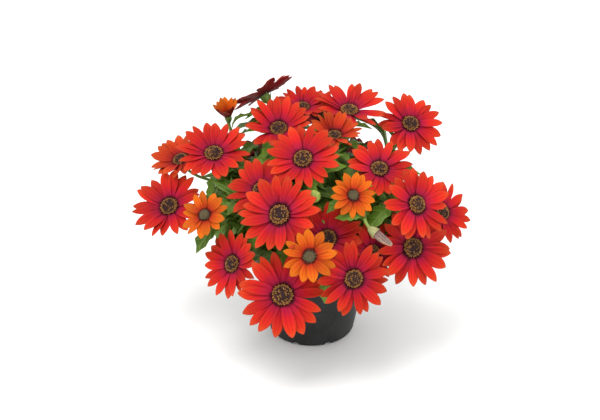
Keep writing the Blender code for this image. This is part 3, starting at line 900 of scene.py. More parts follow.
@functools.cache
def petal_ring():
    """The tree of a ring of petals in two layers, each tilted, turned and sized by chance."""
    sockets = {"Petals": "Collection", "Material": "Material", "Count": "Int", "Seed": "Int"}
    for label in ("Radius", "Height", "Layer Step", "Length", "Width", "Rise", "Spin", "Disorder"):
        sockets[label] = "Float"
    tree, given = new_tree("petal ring", sockets)

    def uneven(amount, salt):
        """A chance shift of up to this amount, for the disorder that is asked."""
        return chance(tree, -amount, amount, given["Seed"] + salt) * given["Disorder"]

    index = add(tree, "GeometryNodeInputIndex")
    angle = index * (math.tau / given["Count"]) + given["Spin"] + uneven(0.085, 1)
    place = combined(
        tree,
        maths("COSINE", angle) * given["Radius"],
        maths("SINE", angle) * given["Radius"],
        given["Height"] + index % 2.0 * given["Layer Step"],
    )
    points = add(tree, "GeometryNodePoints", {"Count": given["Count"], "Position": place})
    rise = given["Rise"] + uneven(0.11, 2)
    turn = rotation(tree, combined(tree, uneven(0.22, 3), rise * -1.0, angle))
    length = given["Length"] * (uneven(0.06, 4) + 0.97)
    width = given["Width"] * (uneven(0.20, 5) + 1.0)
    picked = maths("FLOOR", chance(tree, 0.0, 50.0, given["Seed"] + 6))
    ring = copies(tree, points, given["Petals"], picked, turn, combined(tree, length, width, length))
    shade = chance(tree, 0.0, 1.0, given["Seed"] + 7)
    return finish_tree(tree, stored(tree, ring, "petal_shade", shade), given["Material"])


class OSTEO_OT_petals(bpy.types.Operator):
    """Rings of petals on the open blooms"""

    bl_idname = "osteo.petals"
    bl_label = "Petals"

    def execute(self, context):
        looks = context.scene.petal_looks
        broad = petal_group("broad_petals", BROAD_PETAL, PETAL_FORMS)
        slender = petal_group("slender_petals", SLENDER_PETAL, PETAL_FORMS)
        finishes = {
            kind: petal_material(f"{kind} petals", colour_stops(looks, kind), looks.underside)
            for kind in COLOUR_OF_SLOT.values()
        }
        for number, bloom in enumerate(blooms(), 1):
            few = bloom.colour == "orange"
            count = (looks.orange_count if few else looks.red_count) + number % 2
            radius = hub_radius(bloom) * PETAL_FOOT
            length = bloom.across / 2 - radius
            room = math.tau * (radius + 0.6 * length) / count
            values = {
                "Petals": slender if few else broad,
                "Material": finishes[bloom.colour],
                "Count": count,
                "Radius": radius,
                "Height": 0.0,
                "Layer Step": 0.5 * MM,
                "Length": length,
                "Width": room * (looks.orange_width if few else looks.red_width),
                "Rise": bloom.cup,
                "Spin": number * GOLDEN_ANGLE,
                "Disorder": looks.disorder,
                "Seed": number * 20,
            }
            ring = grown(f"{bloom.name}_petals", petal_ring(), values)
            ring.data.transform(standing_at(bloom))
            rays = f"{bloom.name}_rays"
            hand_over(ring, slot_of(rays), rays)
        discard(broad, slender)
        return {"FINISHED"}


# Eyes


def low_dome(tree, radius, height):
    """A round dome with a flat base at the origin."""
    ball = add(tree, "GeometryNodeMeshUVSphere", {"Segments": 20, "Rings": 12, "Radius": 1.0})
    size = combined(tree, radius, radius, height)
    low = add(tree, "GeometryNodeTransform", {"Geometry": ball, "Scale": size})
    x, y, z = parts_of(tree, add(tree, "GeometryNodeInputPosition"))
    flat = combined(tree, x, y, maths("MAXIMUM", z, 0.0))
    return add(tree, "GeometryNodeSetPosition", {"Geometry": low, "Position": flat})


@functools.cache
def floret_disc():
    """The tree of an eye: a dome with florets on it in the golden spiral."""
    sockets = {"Florets": "Collection", "Material": "Material", "Count": "Int", "Seed": "Int"}
    for label in ("Radius", "Height", "Open From", "Spin"):
        sockets[label] = "Float"
    tree, given = new_tree("floret disc", sockets)
    index = add(tree, "GeometryNodeInputIndex")
    part = (index + 0.5) / given["Count"]
    zone = maths("SQRT", part)
    angle = index * GOLDEN_ANGLE + given["Spin"]
    out = zone * given["Radius"]
    x = maths("COSINE", angle) * out
    y = maths("SINE", angle) * out
    z = maths("SQRT", 1.04 - part) * given["Height"]
    place = combined(tree, x, y, z)
    points = add(tree, "GeometryNodePoints", {"Count": given["Count"], "Position": place})
    flatness = given["Radius"] / given["Height"]
    outwards = combined(tree, x, y, z * (flatness * flatness))
    lean = add(tree, "FunctionNodeAlignRotationToVector", {"Vector": outwards}, axis="Z")
    shade = chance(tree, 0.0, 1.0, given["Seed"])
    stray = (shade > STRAY_FROM) * (zone > STRAY_ZONE)
    opened = maths("MAXIMUM", zone > given["Open From"], stray)
    size = given["Radius"] / maths("SQRT", given["Count"]) * (zone * 0.3 + 0.85)
    florets = copies(tree, points, given["Florets"], opened, lean, combined(tree, size, size, size))
    shown = stored(tree, stored(tree, florets, "eye_zone", zone), "floret_shade", shade)
    dome = low_dome(tree, given["Radius"], given["Height"])
    bed = stored(tree, dome, "eye_zone", 0.45, domain="POINT")
    return finish_tree(tree, together(tree, bed, shown), given["Material"])


def make_floret(name, sides, rings):
    """A tiny floret of unit radius along +Z, from rings of radius and height. Its tip is marked."""
    shape = bmesh.new()
    (foot_radius, foot), (radius, height) = rings[:2]
    bmesh.ops.create_cone(
        shape, cap_ends=True, segments=sides, radius1=foot_radius, radius2=radius, depth=height - foot
    )
    bmesh.ops.translate(shape, verts=shape.verts, vec=(0, 0, (foot + height) / 2))
    top = max(shape.faces, key=lambda face: face.calc_center_median().z)
    for next_radius, next_height in rings[2:]:
        bmesh.ops.inset_individual(shape, faces=[top], thickness=0.0)
        middle = top.calc_center_median()
        for vertex in top.verts:
            vertex.co = middle + (vertex.co - middle) * next_radius / radius
            vertex.co.z = next_height
        radius = next_radius
    tip = shape.verts.layers.float.new("floret_tip")
    highest = max(vertex.co.z for vertex in shape.verts)
    for vertex in shape.verts:
        vertex[tip] = 1.0 if vertex.co.z > highest * 0.55 else 0.0
    return object_of(shape, name)


class OSTEO_OT_eyes(bpy.types.Operator):
    """Discs of florets in the middle of the blooms"""

    bl_idname = "osteo.eyes"
    bl_label = "Eyes"

    def execute(self, context):
        looks = context.scene.eye_looks
        gold = tuple(looks.gold)
        dark = tuple(looks.dark)
        olive = tuple(looks.olive)
        dull = tuple(0.5 * part for part in olive)
        red_stops = ((0.16, tuple(looks.centre)), (0.36, dark), (0.80, dark), (0.90, gold))
        orange_stops = ((0.15, olive), (0.7, olive), (0.85, dull), (1.0, dark))
        red = floret_material("red bloom florets", red_stops, gold)
        orange = floret_material("orange bloom florets", orange_stops, olive)
        closed = make_floret("floret_0_closed", 6, CLOSED_FLORET)
        florets = helper_group("florets", [closed, make_floret("floret_1_open", 5, OPEN_FLORET)])
        for number, bloom in enumerate(blooms(), 1):
            few = bloom.colour == "orange"
            values = {
                "Florets": florets,
                "Material": orange if few else red,
                "Count": looks.florets,
                "Radius": bloom.across * EYE_RADIUS * EYE_SPREAD,
                "Height": bloom.across * EYE_HEIGHT * (1.15 if few else 0.8),
                "Open From": 1.1 if few else 0.86,
                "Spin": number * 1.0,
                "Seed": number,
            }
            eye = grown(f"{bloom.name}_eye", floret_disc(), values)
            eye.data.transform(standing_at(bloom) @ Matrix.Translation((0, 0, GAP)))
            hand_over(eye, "disc", f"{bloom.name}_disc")
        discard(florets)
        return {"FINISHED"}


# Stems, in the same places as the solid ones


@functools.cache
def obstacles():
    """One search tree over everything that stems and leaves keep clear of."""
    points = []
    for node in sorted(FRAME["nodes"]):
        if node != "foliage":
            points += [corner for corners in triangles_of(node) for corner in corners]
    faces = [(first, first + 1, first + 2) for first in range(0, len(points), 3)]
    return BVHTree.FromPolygons(points, faces)


def shoot_knots(bearing_degrees):
    """A main shoot, up out of the stem and then outwards."""
    bearing = math.radians(bearing_degrees)
    out = Vector((math.cos(bearing), math.sin(bearing), 0))
    foot = Vector((0, 0, STEM_HEAD - SHOOT_SINK))
    head = out * SHOOT_REACH + Vector((0, 0, SHOOT_TOP))
    return (
        foot,
        foot + out * SHOOT_REACH * 0.3 + Vector((0, 0, SHOOT_LIFT)),
        head - out * SHOOT_REACH * 0.3 - Vector((0, 0, SHOOT_DIP)),
        head,
    )


def straight_knots(foot, head):
    return (foot, foot.lerp(head, 0.33), foot.lerp(head, 0.66), head)


def stalk_knots(shoot, along, bloom, stand_off, sway):
    """A stalk that leaves a shoot, may sway aside, and comes up behind its bloom."""
    points = interpolate_bezier(*shoot, 21)
    index = round(along * 19)
    root = points[index]
    leaving = (points[index + 1] - root).normalized()
    end = bloom.place - bloom.axis * (RAYS_THICKNESS + GAP + CALYX_LENGTH / 2)
    reach = (end - root).length
    width, bearing = sway
    level = bloom.axis.cross(UP).normalized()
    side = (level * math.cos(bearing) + bloom.axis.cross(level) * math.sin(bearing)) * width
    bend = end - bloom.axis * min(stand_off, reach * 0.5) + side
    return (root, root + leaving * reach * 0.35 + side, bend, end)


def clearance(knots):
    """How near a route comes to anything, up to the clearance that is wanted."""
    nearest = STALK_CLEARANCE
    for point in interpolate_bezier(*knots, 24):
        if (point - knots[3]).length > CALYX_LENGTH:
            nearest = min(nearest, obstacles().find_nearest(point)[3])
    return nearest


def stalk_choices(bloom, shoots):
    """Every route that a bloom's stalk may take, the plainest first."""
    near = sorted(shoots, key=lambda knots: (knots[3] - bloom.place).length)[:NEAR_SHOOTS]
    for sway in STALK_SWAYS:
        for bend in range(STALK_BENDS if sway else 1):
            turned = (sway, math.tau * bend / STALK_BENDS)
            for shoot in near:
                for along in STALK_ROOTS:
                    for stand_off in STALK_STAND_OFFS:
                        yield stalk_knots(shoot, along, bloom, stand_off, turned)


def clear_stalk(bloom, shoots):
    """The first route that keeps clear of everything, or else the clearest."""
    best = None
    for knots in stalk_choices(bloom, shoots):
        room = clearance(knots)
        if best is None or room > best[0] + 1e-9:
            best = (room, knots)
        if room >= STALK_CLEARANCE:
            return knots
    return best[1]


@functools.cache
def shoot_routes():
    centre = straight_knots(Vector((0, 0, STEM_HEAD - SHOOT_SINK)), Vector(CENTRAL_SHOOT_HEAD))
    return (*(shoot_knots(bearing) for bearing in SHOOT_BEARINGS), centre)


@functools.cache
def stalk_routes():
    return tuple(clear_stalk(bloom, shoot_routes()) for bloom in (*blooms(), CLOSED_BLOOM, BUD))


@functools.cache
def stem_tubes():
    """The tree that gives a curve its round thickness."""
    tree, given = new_tree("stem tubes", {"Route": "Object", "Material": "Material"})
    inputs = {
        "Curve": add(tree, "GeometryNodeObjectInfo", {"Object": given["Route"]}, "Geometry"),
        "Profile Curve": add(tree, "GeometryNodeCurvePrimitiveCircle", {"Resolution": 9, "Radius": 1.0}),
        "Scale": add(tree, "GeometryNodeInputRadius"),
        "Fill Caps": True,
    }
    return finish_tree(tree, add(tree, "GeometryNodeCurveToMesh", inputs), given["Material"])


def stem_route(curve, knots, radii):
    """Adds one stem to a curve."""
    spline = curve.splines.new("BEZIER")
    spline.bezier_points.add(1)
    start, finish = spline.bezier_points
    start.co = knots[0]
    start.handle_left = knots[0] * 2 - knots[1]
    start.handle_right = knots[1]
    start.radius = radii[0]
    finish.co = knots[3]
    finish.handle_left = knots[2]
    finish.handle_right = knots[3] * 2 - knots[2]
    finish.radius = radii[1]


def make_stems(looks):
    curve = bpy.data.curves.new("routes", "CURVE")
    curve.dimensions = "3D"
    curve.resolution_u = 12
    trunk = straight_knots(Vector((0, 0, STEM_FOOT)), Vector((0, 0, STEM_HEAD)))
    stem_route(curve, trunk, (STEM_RADIUS, STEM_RADIUS * 0.9))
    for knots in shoot_routes():
        stem_route(curve, knots, (SHOOT_RADIUS, STALK_RADIUS * STALK_TAPER))
    for knots in stalk_routes():
        stem_route(curve, knots, (STALK_RADIUS * STALK_TAPER, STALK_RADIUS))
    route = new_object("routes", curve)
    stems = grown("stems", stem_tubes(), {"Route": route, "Material": stem_material(looks)})
    bpy.data.objects.remove(route, do_unlink=True)
    return stems


@functools.cache
def calyx_tree():
    """The tree of a green cup with a ring of bracts round it."""
    sockets = {"Bracts": "Collection", "Material": "Material", "Seed": "Int"}
    tree, given = new_tree("calyx", sockets | {"Radius": "Float", "Depth": "Float"})
    radius = given["Radius"]
    depth = given["Depth"]
    dome = low_dome(tree, radius * 0.74, depth * 0.86)
    cup = add(tree, "GeometryNodeTransform", {"Geometry": dome, "Rotation": (math.pi, 0, 0)})
    run = radius * 0.92
    inputs = {
        "Petals": given["Bracts"],
        "Material": given["Material"],
        "Count": 13,
        "Radius": radius * 0.2,
        "Height": depth * -0.98,
        "Layer Step": 0.4 * MM,
        "Length": maths("SQRT", run * run + depth * depth),
        "Width": radius * 0.42,
        "Rise": maths("ARCTAN2", depth, run),
        "Spin": 0.0,
        "Disorder": 1.0,
        "Seed": given["Seed"],
    }
    ring = add(tree, "GeometryNodeGroup", inputs, node_tree=petal_ring())
    return finish_tree(tree, together(tree, cup, ring), given["Material"])


def make_calyxes(name, material, holders):
    """The cups of bracts behind some blooms, as one piece."""
    bracts = petal_group("bracts", BRACT, BRACT_FORMS, BRACT_SPANS)
    cups = []
    for number, bloom in enumerate(holders):
        values = {
            "Bracts": bracts,
            "Material": material,
            "Radius": max(hub_radius(bloom) * 0.8, 2.6 * MM),
            "Depth": CALYX_LENGTH,
            "Seed": number * 10,
        }
        cup = grown(f"{name}_{number}", calyx_tree(), values)
        cup.data.transform(standing_at(bloom) @ Matrix.Translation((0, 0, -RAYS_THICKNESS - GAP)))
        cups.append(cup)
    discard(bracts)
    return joined(name, cups)


def make_bud(material):
    """A round green bud of folded scales."""
    shape = bmesh.new()
    shape.loops.layers.uv.new("petal_uv")
    bmesh.ops.create_uvsphere(shape, u_segments=32, v_segments=14, radius=1, calc_uvs=True)
    for vertex in shape.verts:
        bearing = math.atan2(vertex.co.y, vertex.co.x)
        flank = math.hypot(vertex.co.x, vertex.co.y)
        lobes = 1 + 0.07 * flank * abs(math.sin(4 * bearing + 1.4 * vertex.co.z)) ** 0.5
        slit = 1 - 0.16 * max(0, vertex.co.z) ** 3 * (abs(vertex.co.x) < 0.12)
        vertex.co = vertex.co * lobes * slit
    bud = object_of(shape, "bud")
    bud.data.transform(standing_at(BUD) @ Matrix.Diagonal((5 * MM, 5 * MM, 5.6 * MM, 1)))
    bud.data.materials.append(material)
    bud.data.shade_smooth()
    return bud


class OSTEO_OT_stems(bpy.types.Operator):
    """Stem, shoots, stalks, calyxes and bud"""

    bl_idname = "osteo.stems"
    bl_label = "Stems"

    def execute(self, context):
        looks = context.scene.leaf_looks
        green = bract_material("bract", looks.stem, looks.rib)
        pale = bract_material("pale bract", looks.pale_bract, looks.cream)
        hand_over(make_stems(looks), "foliage", "foliage")
        hand_over(make_calyxes("calyxes", green, (*blooms(), BUD)), "foliage", "foliage")
        hand_over(make_calyxes("closed_calyx", pale, (CLOSED_BLOOM,)), "foliage", "foliage")
        hand_over(make_bud(bract_material("bud", looks.bud, looks.bud_rib)), "foliage", "foliage")
        return {"FINISHED"}


class OSTEO_OT_closed_bloom(bpy.types.Operator):
    """The closed bloom of furled petals"""

    bl_idname = "osteo.closed_bloom"
    bl_label = "Closed bloom"

    def execute(self, context):
        furled = petal_group("furled", SLENDER_PETAL, FURLED_FORMS)
        values = {
            "Petals": furled,
            "Material": furled_material(context.scene.leaf_looks),
            "Count": 10,
            "Radius": hub_radius(CLOSED_BLOOM) * 0.58,
            "Height": -1 * MM,
            "Layer Step": 0.4 * MM,
            "Length": 16 * MM,
            "Width": 4.0 * MM,
            "Rise": math.radians(90),
            "Spin": 0.3,
            "Disorder": 0.6,
            "Seed": 5,
        }
        bloom = grown("closed_bloom_petals", petal_ring(), values)
        bloom.data.transform(standing_at(CLOSED_BLOOM))
        hand_over(bloom, "closed_bloom", "closed_bloom")
        discard(furled)
        return {"FINISHED"}


# Leaves

Leaf = collections.namedtuple("Leaf", "root along up length droop")

# Forms of leaves: how far the tip droops, and the twist in degrees. The last is for level leaves.
LEAF_FORMS = ((0.30, 0), (0.30, 12), (0.30, -14), (0.05, 4))
LEAF_HALF_WIDTH = 0.195
LEAF_STALK = 0.022
LEAF_THICKNESS = 0.35 / 45
LEAF_ARCH = 0.22


def leaf_half_width(span):
    """Half the width of a leaf at one of its spans, in lengths: a stalk, a blade and its teeth."""
    share = span / LEAF_SPANS[0]
    blade = LEAF_HALF_WIDTH * math.sin(math.pi * share**1.45) ** 0.75 if 0 < share < 1 else 0
    tooth = 0.70 if span > 3 and span % 2 == 0 else 1.0
    return max(blade * tooth, LEAF_STALK if share < 0.5 else 0)


def make_leaf(name, droop, twist):
    """One toothed leaf of unit length along +X, folded along its rib."""
    shape = blade_grid(*LEAF_SPANS)
    for vertex in shape.verts:
        side = vertex.co.x
        span = round((vertex.co.y + 1) / 2 * LEAF_SPANS[0])
        share = span / LEAF_SPANS[0]
        across = side * leaf_half_width(span)
        height = LEAF_ARCH * math.sin(math.pi * share) - droop * share * share
        height += 0.42 * abs(across) + 0.012 * math.sin(9 * share + 3 * side) * abs(side)
        height += across * math.sin(math.radians(twist) * share)
        back_sweep = 0.03 * abs(side) if span % 2 and 3 < span < LEAF_SPANS[0] else 0
        vertex.co = (share + back_sweep, across, height)
    return close_blade(name, shape, LEAF_THICKNESS)


def leaf_frame(leaf):
    """The unit axes of a leaf: along it, across it and up from its face."""
    side = leaf.along.cross(leaf.up).normalized()
    return leaf.along, -side, side.cross(leaf.along).normalized()


def leaf_is_clear(leaf, margin):
    """Whether a leaf keeps this far from everything, by the plain outline that the solids have."""
    along, across, rise = leaf_frame(leaf)
    row = []
    for share, half in LEAF_OUTLINE:
        bend = leaf.length * (LEAF_ARCH * math.sin(math.pi * share) - leaf.droop * share * share)
        middle = leaf.root + along * leaf.length * share + rise * bend
        row += [middle + across * side * half * leaf.length for side in (-1, 1)]
    points = [point + rise * lift for lift in (-margin / 2, margin / 2) for point in row]
    count = len(row)
    faces = []
    for first in range(0, count - 2, 2):
        faces.append((first, first + 1, first + 3, first + 2))
        faces.append((first + count, first + count + 1, first + count + 3, first + count + 2))
        faces.append((first, first + 2, first + count + 2, first + count))
        faces.append((first + 1, first + 3, first + count + 3, first + count + 1))
    return not obstacles().overlap(BVHTree.FromPolygons(points, faces))


def fitted(leaf, margin):
    """The leaf, shortened until it is clear, or None."""
    for share in (1, 0.8, 0.62):
        shorter = leaf._replace(length=leaf.length * share)
        if leaf_is_clear(shorter, margin):
            return shorter
    return None


def leaves_along(knots, first, last, spacing, lengths, margin, dice):
    """Leaves spaced along a stem, each turned from the one below by the golden angle."""
    points = interpolate_bezier(*knots, 40)
    walked = 0
    turn = dice.random() * math.tau
    for index in range(1, len(points) - 1):
        step = points[index] - points[index - 1]
        walked += step.length
        share = index / (len(points) - 1)
        if walked < spacing or not first <= share <= last:
            continue
        walked = 0
        turn += GOLDEN_ANGLE
        stem = step.normalized()
        flat = stem.orthogonal().normalized()
        out = flat * math.cos(turn) + stem.cross(flat) * math.sin(turn)
        along = (out + stem * 0.55 + UP * 0.25).normalized()
        leaf = Leaf(points[index], along, stem + UP * 0.6, dice.uniform(*lengths), 0.3)
        if (leaf.root + along * leaf.length).xy.length > MOST_LEAF_REACH:
            continue
        found = fitted(leaf, margin)
        if found:
            yield found


def shown_leaves(stem_points):
    """The leaves that show between the blooms at the front."""
    for tip in SHOWN_LEAF_TIPS:
        end = Vector(tip) * MM
        near = sorted(stem_points, key=lambda point: abs((end - point).length - SHOWN_LEAF_LENGTH))
        for root in near[:SHOWN_LEAF_ROOTS]:
            reach = end - root
            leaf = Leaf(root, reach.normalized(), Vector((0, -0.4, 1)), reach.length, 0.05)
            found = fitted(leaf, LEAF_CLEARANCE)
            if found:
                yield found
                break


def inner_leaves(stem_points, looks, dice):
    """Leaves that run from the stems to chance places between and below the blooms."""
    for _ in range(looks.inner_tries):
        bearing = dice.uniform(0, math.tau)
        reach = INNER_REACH * math.sqrt(dice.random())
        height = dice.uniform(INNER_FLOOR, INNER_TOP - INNER_SLOPE * reach)
        end = Vector((math.cos(bearing) * reach, math.sin(bearing) * reach, height))
        wanted = dice.uniform(looks.filling_shortest, looks.filling_longest)
        root = min(stem_points, key=lambda point: abs((end - point).length - wanted))
        run = end - root
        if looks.filling_shortest < run.length < looks.longest:
            leaf = Leaf(root, run.normalized(), Vector((0, -0.3, 1)), run.length, INNER_DROOP)
            if leaf_is_clear(leaf, FILLING_CLEARANCE):
                yield leaf


def all_leaves(looks):
    """The leaves of the solids and then the ones that fill the plant."""
    dice = random.Random(LEAVES_SEED)
    lengths = (looks.shortest, looks.longest)
    found = []
    stem_points = []
    for knots in shoot_routes():
        stem_points += interpolate_bezier(*knots, 12)[4:]
        found += leaves_along(knots, 0.25, 1, LEAF_SPACING, lengths, LEAF_CLEARANCE, dice)
    for knots in stalk_routes():
        stem_points += interpolate_bezier(*knots, 12)[1:9]
        found += leaves_along(knots, 0.1, 0.62, LEAF_SPACING, lengths, LEAF_CLEARANCE, dice)
    found += shown_leaves(stem_points)
    filling = (looks.filling_shortest, looks.filling_longest)
    for knots in (*shoot_routes(), *stalk_routes()):
        spacing = looks.filling_spacing
        found += leaves_along(knots, 0.15, 0.9, spacing, filling, FILLING_CLEARANCE, dice)
    found += inner_leaves(stem_points, looks, dice)
    return found


def leaf_points(leaves):
    """A mesh of one point for each leaf, with its turn, length and form as attributes."""
    mesh = bpy.data.meshes.new("leaf_points")
    mesh.from_pydata([leaf.root for leaf in leaves], [], [])
    for name, kind in (("leaf_turn", "FLOAT_VECTOR"), ("leaf_length", "FLOAT"), ("leaf_form", "FLOAT")):
        mesh.attributes.new(name, kind, "POINT")
    for index, leaf in enumerate(leaves):
        axes = Matrix(leaf_frame(leaf)).transposed()
        mesh.attributes["leaf_turn"].data[index].vector = axes.to_euler("XYZ")
        mesh.attributes["leaf_length"].data[index].value = leaf.length
        mesh.attributes["leaf_form"].data[index].value = 3 if leaf.droop < 0.1 else index % 3
    return mesh


@functools.cache
def leaf_spread():
    """The tree that puts a leaf on each point."""
    sockets = {"Geometry": "Geometry", "Leaves": "Collection", "Material": "Material"}
    tree, given = new_tree("leaf spread", sockets)
    turn = rotation(tree, attribute(tree, "leaf_turn", "FLOAT_VECTOR"))
    length = attribute(tree, "leaf_length")
    size = combined(tree, length, length, length)
    form = attribute(tree, "leaf_form")
    leaves = copies(tree, given["Geometry"], given["Leaves"], form, turn, size)
    shade = chance(tree, 0.0, 1.0, 4)
    return finish_tree(tree, stored(tree, leaves, "petal_shade", shade), given["Material"])


class OSTEO_OT_leaves(bpy.types.Operator):
    """Toothed leaves on every shoot and stalk"""

    bl_idname = "osteo.leaves"
    bl_label = "Leaves"

    def execute(self, context):
        looks = context.scene.leaf_looks
        blades = helper_group("blades", [make_leaf(f"blade_{i}", *form) for i, form in enumerate(LEAF_FORMS)])
        values = {"Leaves": blades, "Material": leaf_material(looks)}
        leaves = grown("leaves", leaf_spread(), values, source=leaf_points(all_leaves(looks)))
        hand_over(leaves, "foliage", "foliage")
        discard(blades)
        return {"FINISHED"}


# Pot and soil


def turned_body(name, profile, steps):
    """A body turned round Z from a profile that runs down its outer side."""
    shape = bmesh.new()
    points = [shape.verts.new((radius, 0, height)) for radius, height in profile]
    for above, below in zip(points, points[1:]):
        shape.edges.new((above, below))
    body = object_of(shape, name + "_profile")
    screw = body.modifiers.new("turn", "SCREW")
    screw.steps = steps
    screw.render_steps = steps
    screw.use_merge_vertices = True
    screw.merge_threshold = 0.05 * MM
    return plain_copy(body, name)


def arc(centre, radius, first, last, steps):
    """Points on an arc in the profile's plane, between two angles in degrees."""
    for index in range(steps + 1):
        angle = math.radians(first + (last - first) * index / steps)
        yield centre[0] + radius * math.cos(angle), centre[1] + radius * math.sin(angle)


def inner_radius(looks, height):
    """The radius inside the pot's wall at this height."""
    share = min(1, height / (looks.height - RIM_BAND))
    top = looks.rim_radius - RIM_STEP
    return looks.base_radius + (top - looks.base_radius) * share - looks.wall


def pot_profile(looks):
    """Inside from the middle out and up, round the lip, and down the outside."""
    band_foot = looks.height - RIM_BAND
    lip = looks.wall / 2
    corner = POT_CORNER
    flat = inner_radius(looks, 0) - corner
    yield 0, POT_FLOOR
    yield flat, POT_FLOOR
    yield from arc((flat, POT_FLOOR + corner), corner, -75, -10, 4)
    yield inner_radius(looks, band_foot), band_foot
    yield looks.rim_radius - looks.wall, band_foot + RIM_STEP
    yield from arc((looks.rim_radius - lip, looks.height - lip), lip, 180, 0, 8)
    yield from arc((looks.rim_radius - lip, band_foot + lip), lip, 0, -90, 4)
    yield looks.rim_radius - RIM_STEP, band_foot
    yield looks.rim_radius - RIM_STEP - 0.1 * MM, band_foot - 1 * MM
    yield looks.base_radius + 0.5 * MM, corner * 1.2
    yield from arc((looks.base_radius - corner, corner), corner, 0, -90, 6)
    yield 0, 0


def make_notch(index, reach):
    """A rod that cuts one drain notch, laid outwards at the foot of the pot."""
    bearing = math.tau * (index + 0.5) / NOTCHES
    shape = bmesh.new()
    bmesh.ops.create_cone(
        shape, cap_ends=True, segments=28, radius1=NOTCH_RADIUS, radius2=NOTCH_RADIUS, depth=12 * MM
    )
    rod = object_of(shape, f"notch_{index}")
    rod.rotation_euler = (0, math.pi / 2, bearing)
    rod.location = Vector((math.cos(bearing), math.sin(bearing), 0)) * reach
    return rod


class OSTEO_OT_pot(bpy.types.Operator):
    """The black nursery pot with its drain notches"""

    bl_idname = "osteo.pot"
    bl_label = "Pot"

    def execute(self, context):
        looks = context.scene.pot_looks
        body = turned_body("pot_body", tuple(pot_profile(looks)), 128)
        rods = [make_notch(index, looks.base_radius) for index in range(NOTCHES)]
        cutters = helper_group("notches", rods)
        cut = body.modifiers.new("notches", "BOOLEAN")
        cut.operation = "DIFFERENCE"
        cut.operand_type = "COLLECTION"
        cut.collection = cutters
        pot = plain_copy(body, "nursery_pot")
        discard(cutters)
        pot.data.materials.clear()
        pot.data.materials.append(plastic_material(looks))
        pot.data.shade_smooth()
        pot.data.set_sharp_from_angle(angle=math.radians(32))
        hand_over(pot, "pot", "pot")
        return {"FINISHED"}


@functools.cache
def crumb_spread():
    """The tree that strews crumbs over a surface that faces up."""
    sockets = {"Geometry": "Geometry", "Crumbs": "Collection", "Material": "Material"}
    tree, given = new_tree("crumb spread", sockets | {"Density": "Float", "From Height": "Float"})
    ground = given["Geometry"]
    high = parts_of(tree, add(tree, "GeometryNodeInputPosition"))[2] > given["From Height"]
    inputs = {"Mesh": ground, "Selection": high, "Density": given["Density"], "Seed": 3}
    points = add(tree, "GeometryNodeDistributePointsOnFaces", inputs, "Points")
    turn = rotation(tree, combined(tree, *(chance(tree, 0.0, 6.0, seed) for seed in (1, 2, 3))))
    size = chance(tree, 0.5 * MM, 1.9 * MM, 4)
    picked = maths("FLOOR", chance(tree, 0.0, 2.99, 5))
    crumbs = copies(tree, points, given["Crumbs"], picked, turn, combined(tree, size, size, size))
    return finish_tree(tree, together(tree, ground, crumbs), given["Material"])


def make_crumb(name, seed):
    """A rough lump of unit size."""
    dice = random.Random(seed)
    shape = bmesh.new()
    bmesh.ops.create_icosphere(shape, subdivisions=1, radius=1)
    for vertex in shape.verts:
        vertex.co *= dice.uniform(0.7, 1.15)
        vertex.co.z *= 0.7
    return object_of(shape, name)


class OSTEO_OT_soil(bpy.types.Operator):
    """Potting soil with its crumbs"""

    bl_idname = "osteo.soil"
    bl_label = "Soil"

    def execute(self, context):
        looks = context.scene.pot_looks
        hole = STEM_RADIUS + 2 * GAP
        bottom = POT_FLOOR + GAP
        edge_height = looks.soil_top - SOIL_EDGE_DROP
        edge = inner_radius(looks, edge_height) - GAP
        profile = (
            (0, STEM_FOOT - GAP),
            (hole, STEM_FOOT - GAP),
            *((hole + (edge - hole) * ring / SOIL_RINGS, looks.soil_top) for ring in range(SOIL_RINGS)),
            (edge, edge_height),
            (inner_radius(looks, POT_CORNER) - GAP, bottom + POT_CORNER),
            (inner_radius(looks, 0) - POT_CORNER - GAP, bottom),
            (0, bottom),
        )
        body = turned_body("soil_body", profile, 64)
        for vertex in body.data.vertices:
            radius = math.hypot(vertex.co.x, vertex.co.y)
            if vertex.co.z > looks.soil_top - GAP and radius > hole + GAP:
                bearing = math.atan2(vertex.co.y, vertex.co.x)
                vertex.co.z += SOIL_BUMP * math.sin(5 * bearing + radius / (4 * MM))
        crumbs = helper_group("crumbs", [make_crumb(f"crumb_{index}", index) for index in range(3)])
        values = {
            "Crumbs": crumbs,
            "Material": soil_material(looks),
            "Density": looks.crumbs,
            "From Height": looks.soil_top - 1.5 * MM,
        }
        soil = grown("potting_soil", crumb_spread(), values, source=body.data)
        bpy.data.objects.remove(body, do_unlink=True)
        hand_over(soil, "soil", "soil")
        discard(crumbs)
        return {"FINISHED"}


# The stage


def make_light(name, place, aim, size, watts):
    light = bpy.data.lights.new(name, "AREA")
    light.shape = "DISK"
    light.size = size
    light.energy = watts
    lamp = new_object(name, light)
    lamp.location = place
    lamp.rotation_euler = (Vector(aim) - lamp.location).to_track_quat("-Z", "Y").to_euler()
    return lamp


def make_floor(colour):
    shape = bmesh.new()
    bmesh.ops.create_grid(shape, x_segments=1, y_segments=1, size=8)
    floor = object_of(shape, "floor")
    floor.data.materials.append(floor_material(colour))
    return floor


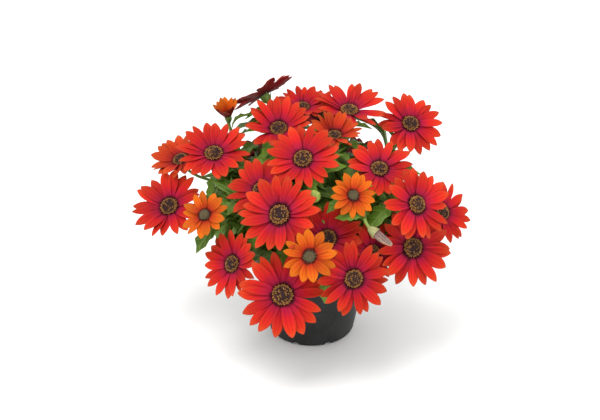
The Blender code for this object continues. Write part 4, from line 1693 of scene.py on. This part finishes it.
class OSTEO_OT_stage(bpy.types.Operator):
    """Camera, soft lights and a plain pale floor"""

    bl_idname = "osteo.stage"
    bl_label = "Stage"

    def execute(self, context):
        looks = context.scene.stage_looks
        make_floor(looks.floor)
        target = Vector(looks.target)
        back = Vector((0, -math.cos(looks.elevation), math.sin(looks.elevation)))
        camera = bpy.data.cameras.new("camera")
        camera.lens = looks.lens
        camera.sensor_width = 36
        holder = new_object("camera", camera)
        holder.location = target + back * looks.distance
        holder.rotation_euler = (-back).to_track_quat("-Z", "Y").to_euler()
        context.scene.camera = holder
        make_light("key", (-0.5, -0.7, 2.0), target, 1.1, looks.key)
        make_light("fill", (1.3, -0.9, 0.9), target, 1.3, looks.fill)
        world = bpy.data.worlds.new("studio")
        world.use_nodes = True
        light = world.node_tree.nodes["Background"]
        light.inputs["Color"].default_value = (1, 1, 1, 1)
        light.inputs["Strength"].default_value = looks.sky
        context.scene.world = world
        context.scene.view_settings.view_transform = "Standard"
        return {"FINISHED"}


class OSTEO_PT_panel(bpy.types.Panel):
    """Lists the parts in the order that they are built"""

    bl_label = "Osteospermum"
    bl_space_type = "VIEW_3D"
    bl_region_type = "UI"
    bl_category = "Osteospermum"

    def draw(self, context):
        for operator in OPERATORS:
            self.layout.operator(operator.bl_idname)
        for name in LOOKS:
            looks = getattr(context.scene, name)
            box = self.layout.box()
            for prop in looks.bl_rna.properties:
                if not prop.is_readonly and prop.identifier != "name":
                    box.prop(looks, prop.identifier)


LOOKS = {
    "petal_looks": PetalLooks,
    "eye_looks": EyeLooks,
    "leaf_looks": LeafLooks,
    "pot_looks": PotLooks,
    "stage_looks": StageLooks,
}
OPERATORS = (
    OSTEO_OT_stage,
    OSTEO_OT_pot,
    OSTEO_OT_soil,
    OSTEO_OT_stems,
    OSTEO_OT_leaves,
    OSTEO_OT_petals,
    OSTEO_OT_eyes,
    OSTEO_OT_closed_bloom,
)


def register():
    for kind in (*LOOKS.values(), *OPERATORS, OSTEO_PT_panel):
        bpy.utils.register_class(kind)
    for name, kind in LOOKS.items():
        setattr(bpy.types.Scene, name, PointerProperty(type=kind))


def unregister():
    for name in LOOKS:
        delattr(bpy.types.Scene, name)
    for kind in reversed((*LOOKS.values(), *OPERATORS, OSTEO_PT_panel)):
        bpy.utils.unregister_class(kind)


def main():
    register()
    bpy.ops.osteo.stage()
    bpy.ops.osteo.pot()
    bpy.ops.osteo.soil()
    bpy.ops.osteo.stems()
    bpy.ops.osteo.leaves()
    bpy.ops.osteo.petals()
    bpy.ops.osteo.eyes()
    bpy.ops.osteo.closed_bloom()


if __name__ == "__main__":
    main()
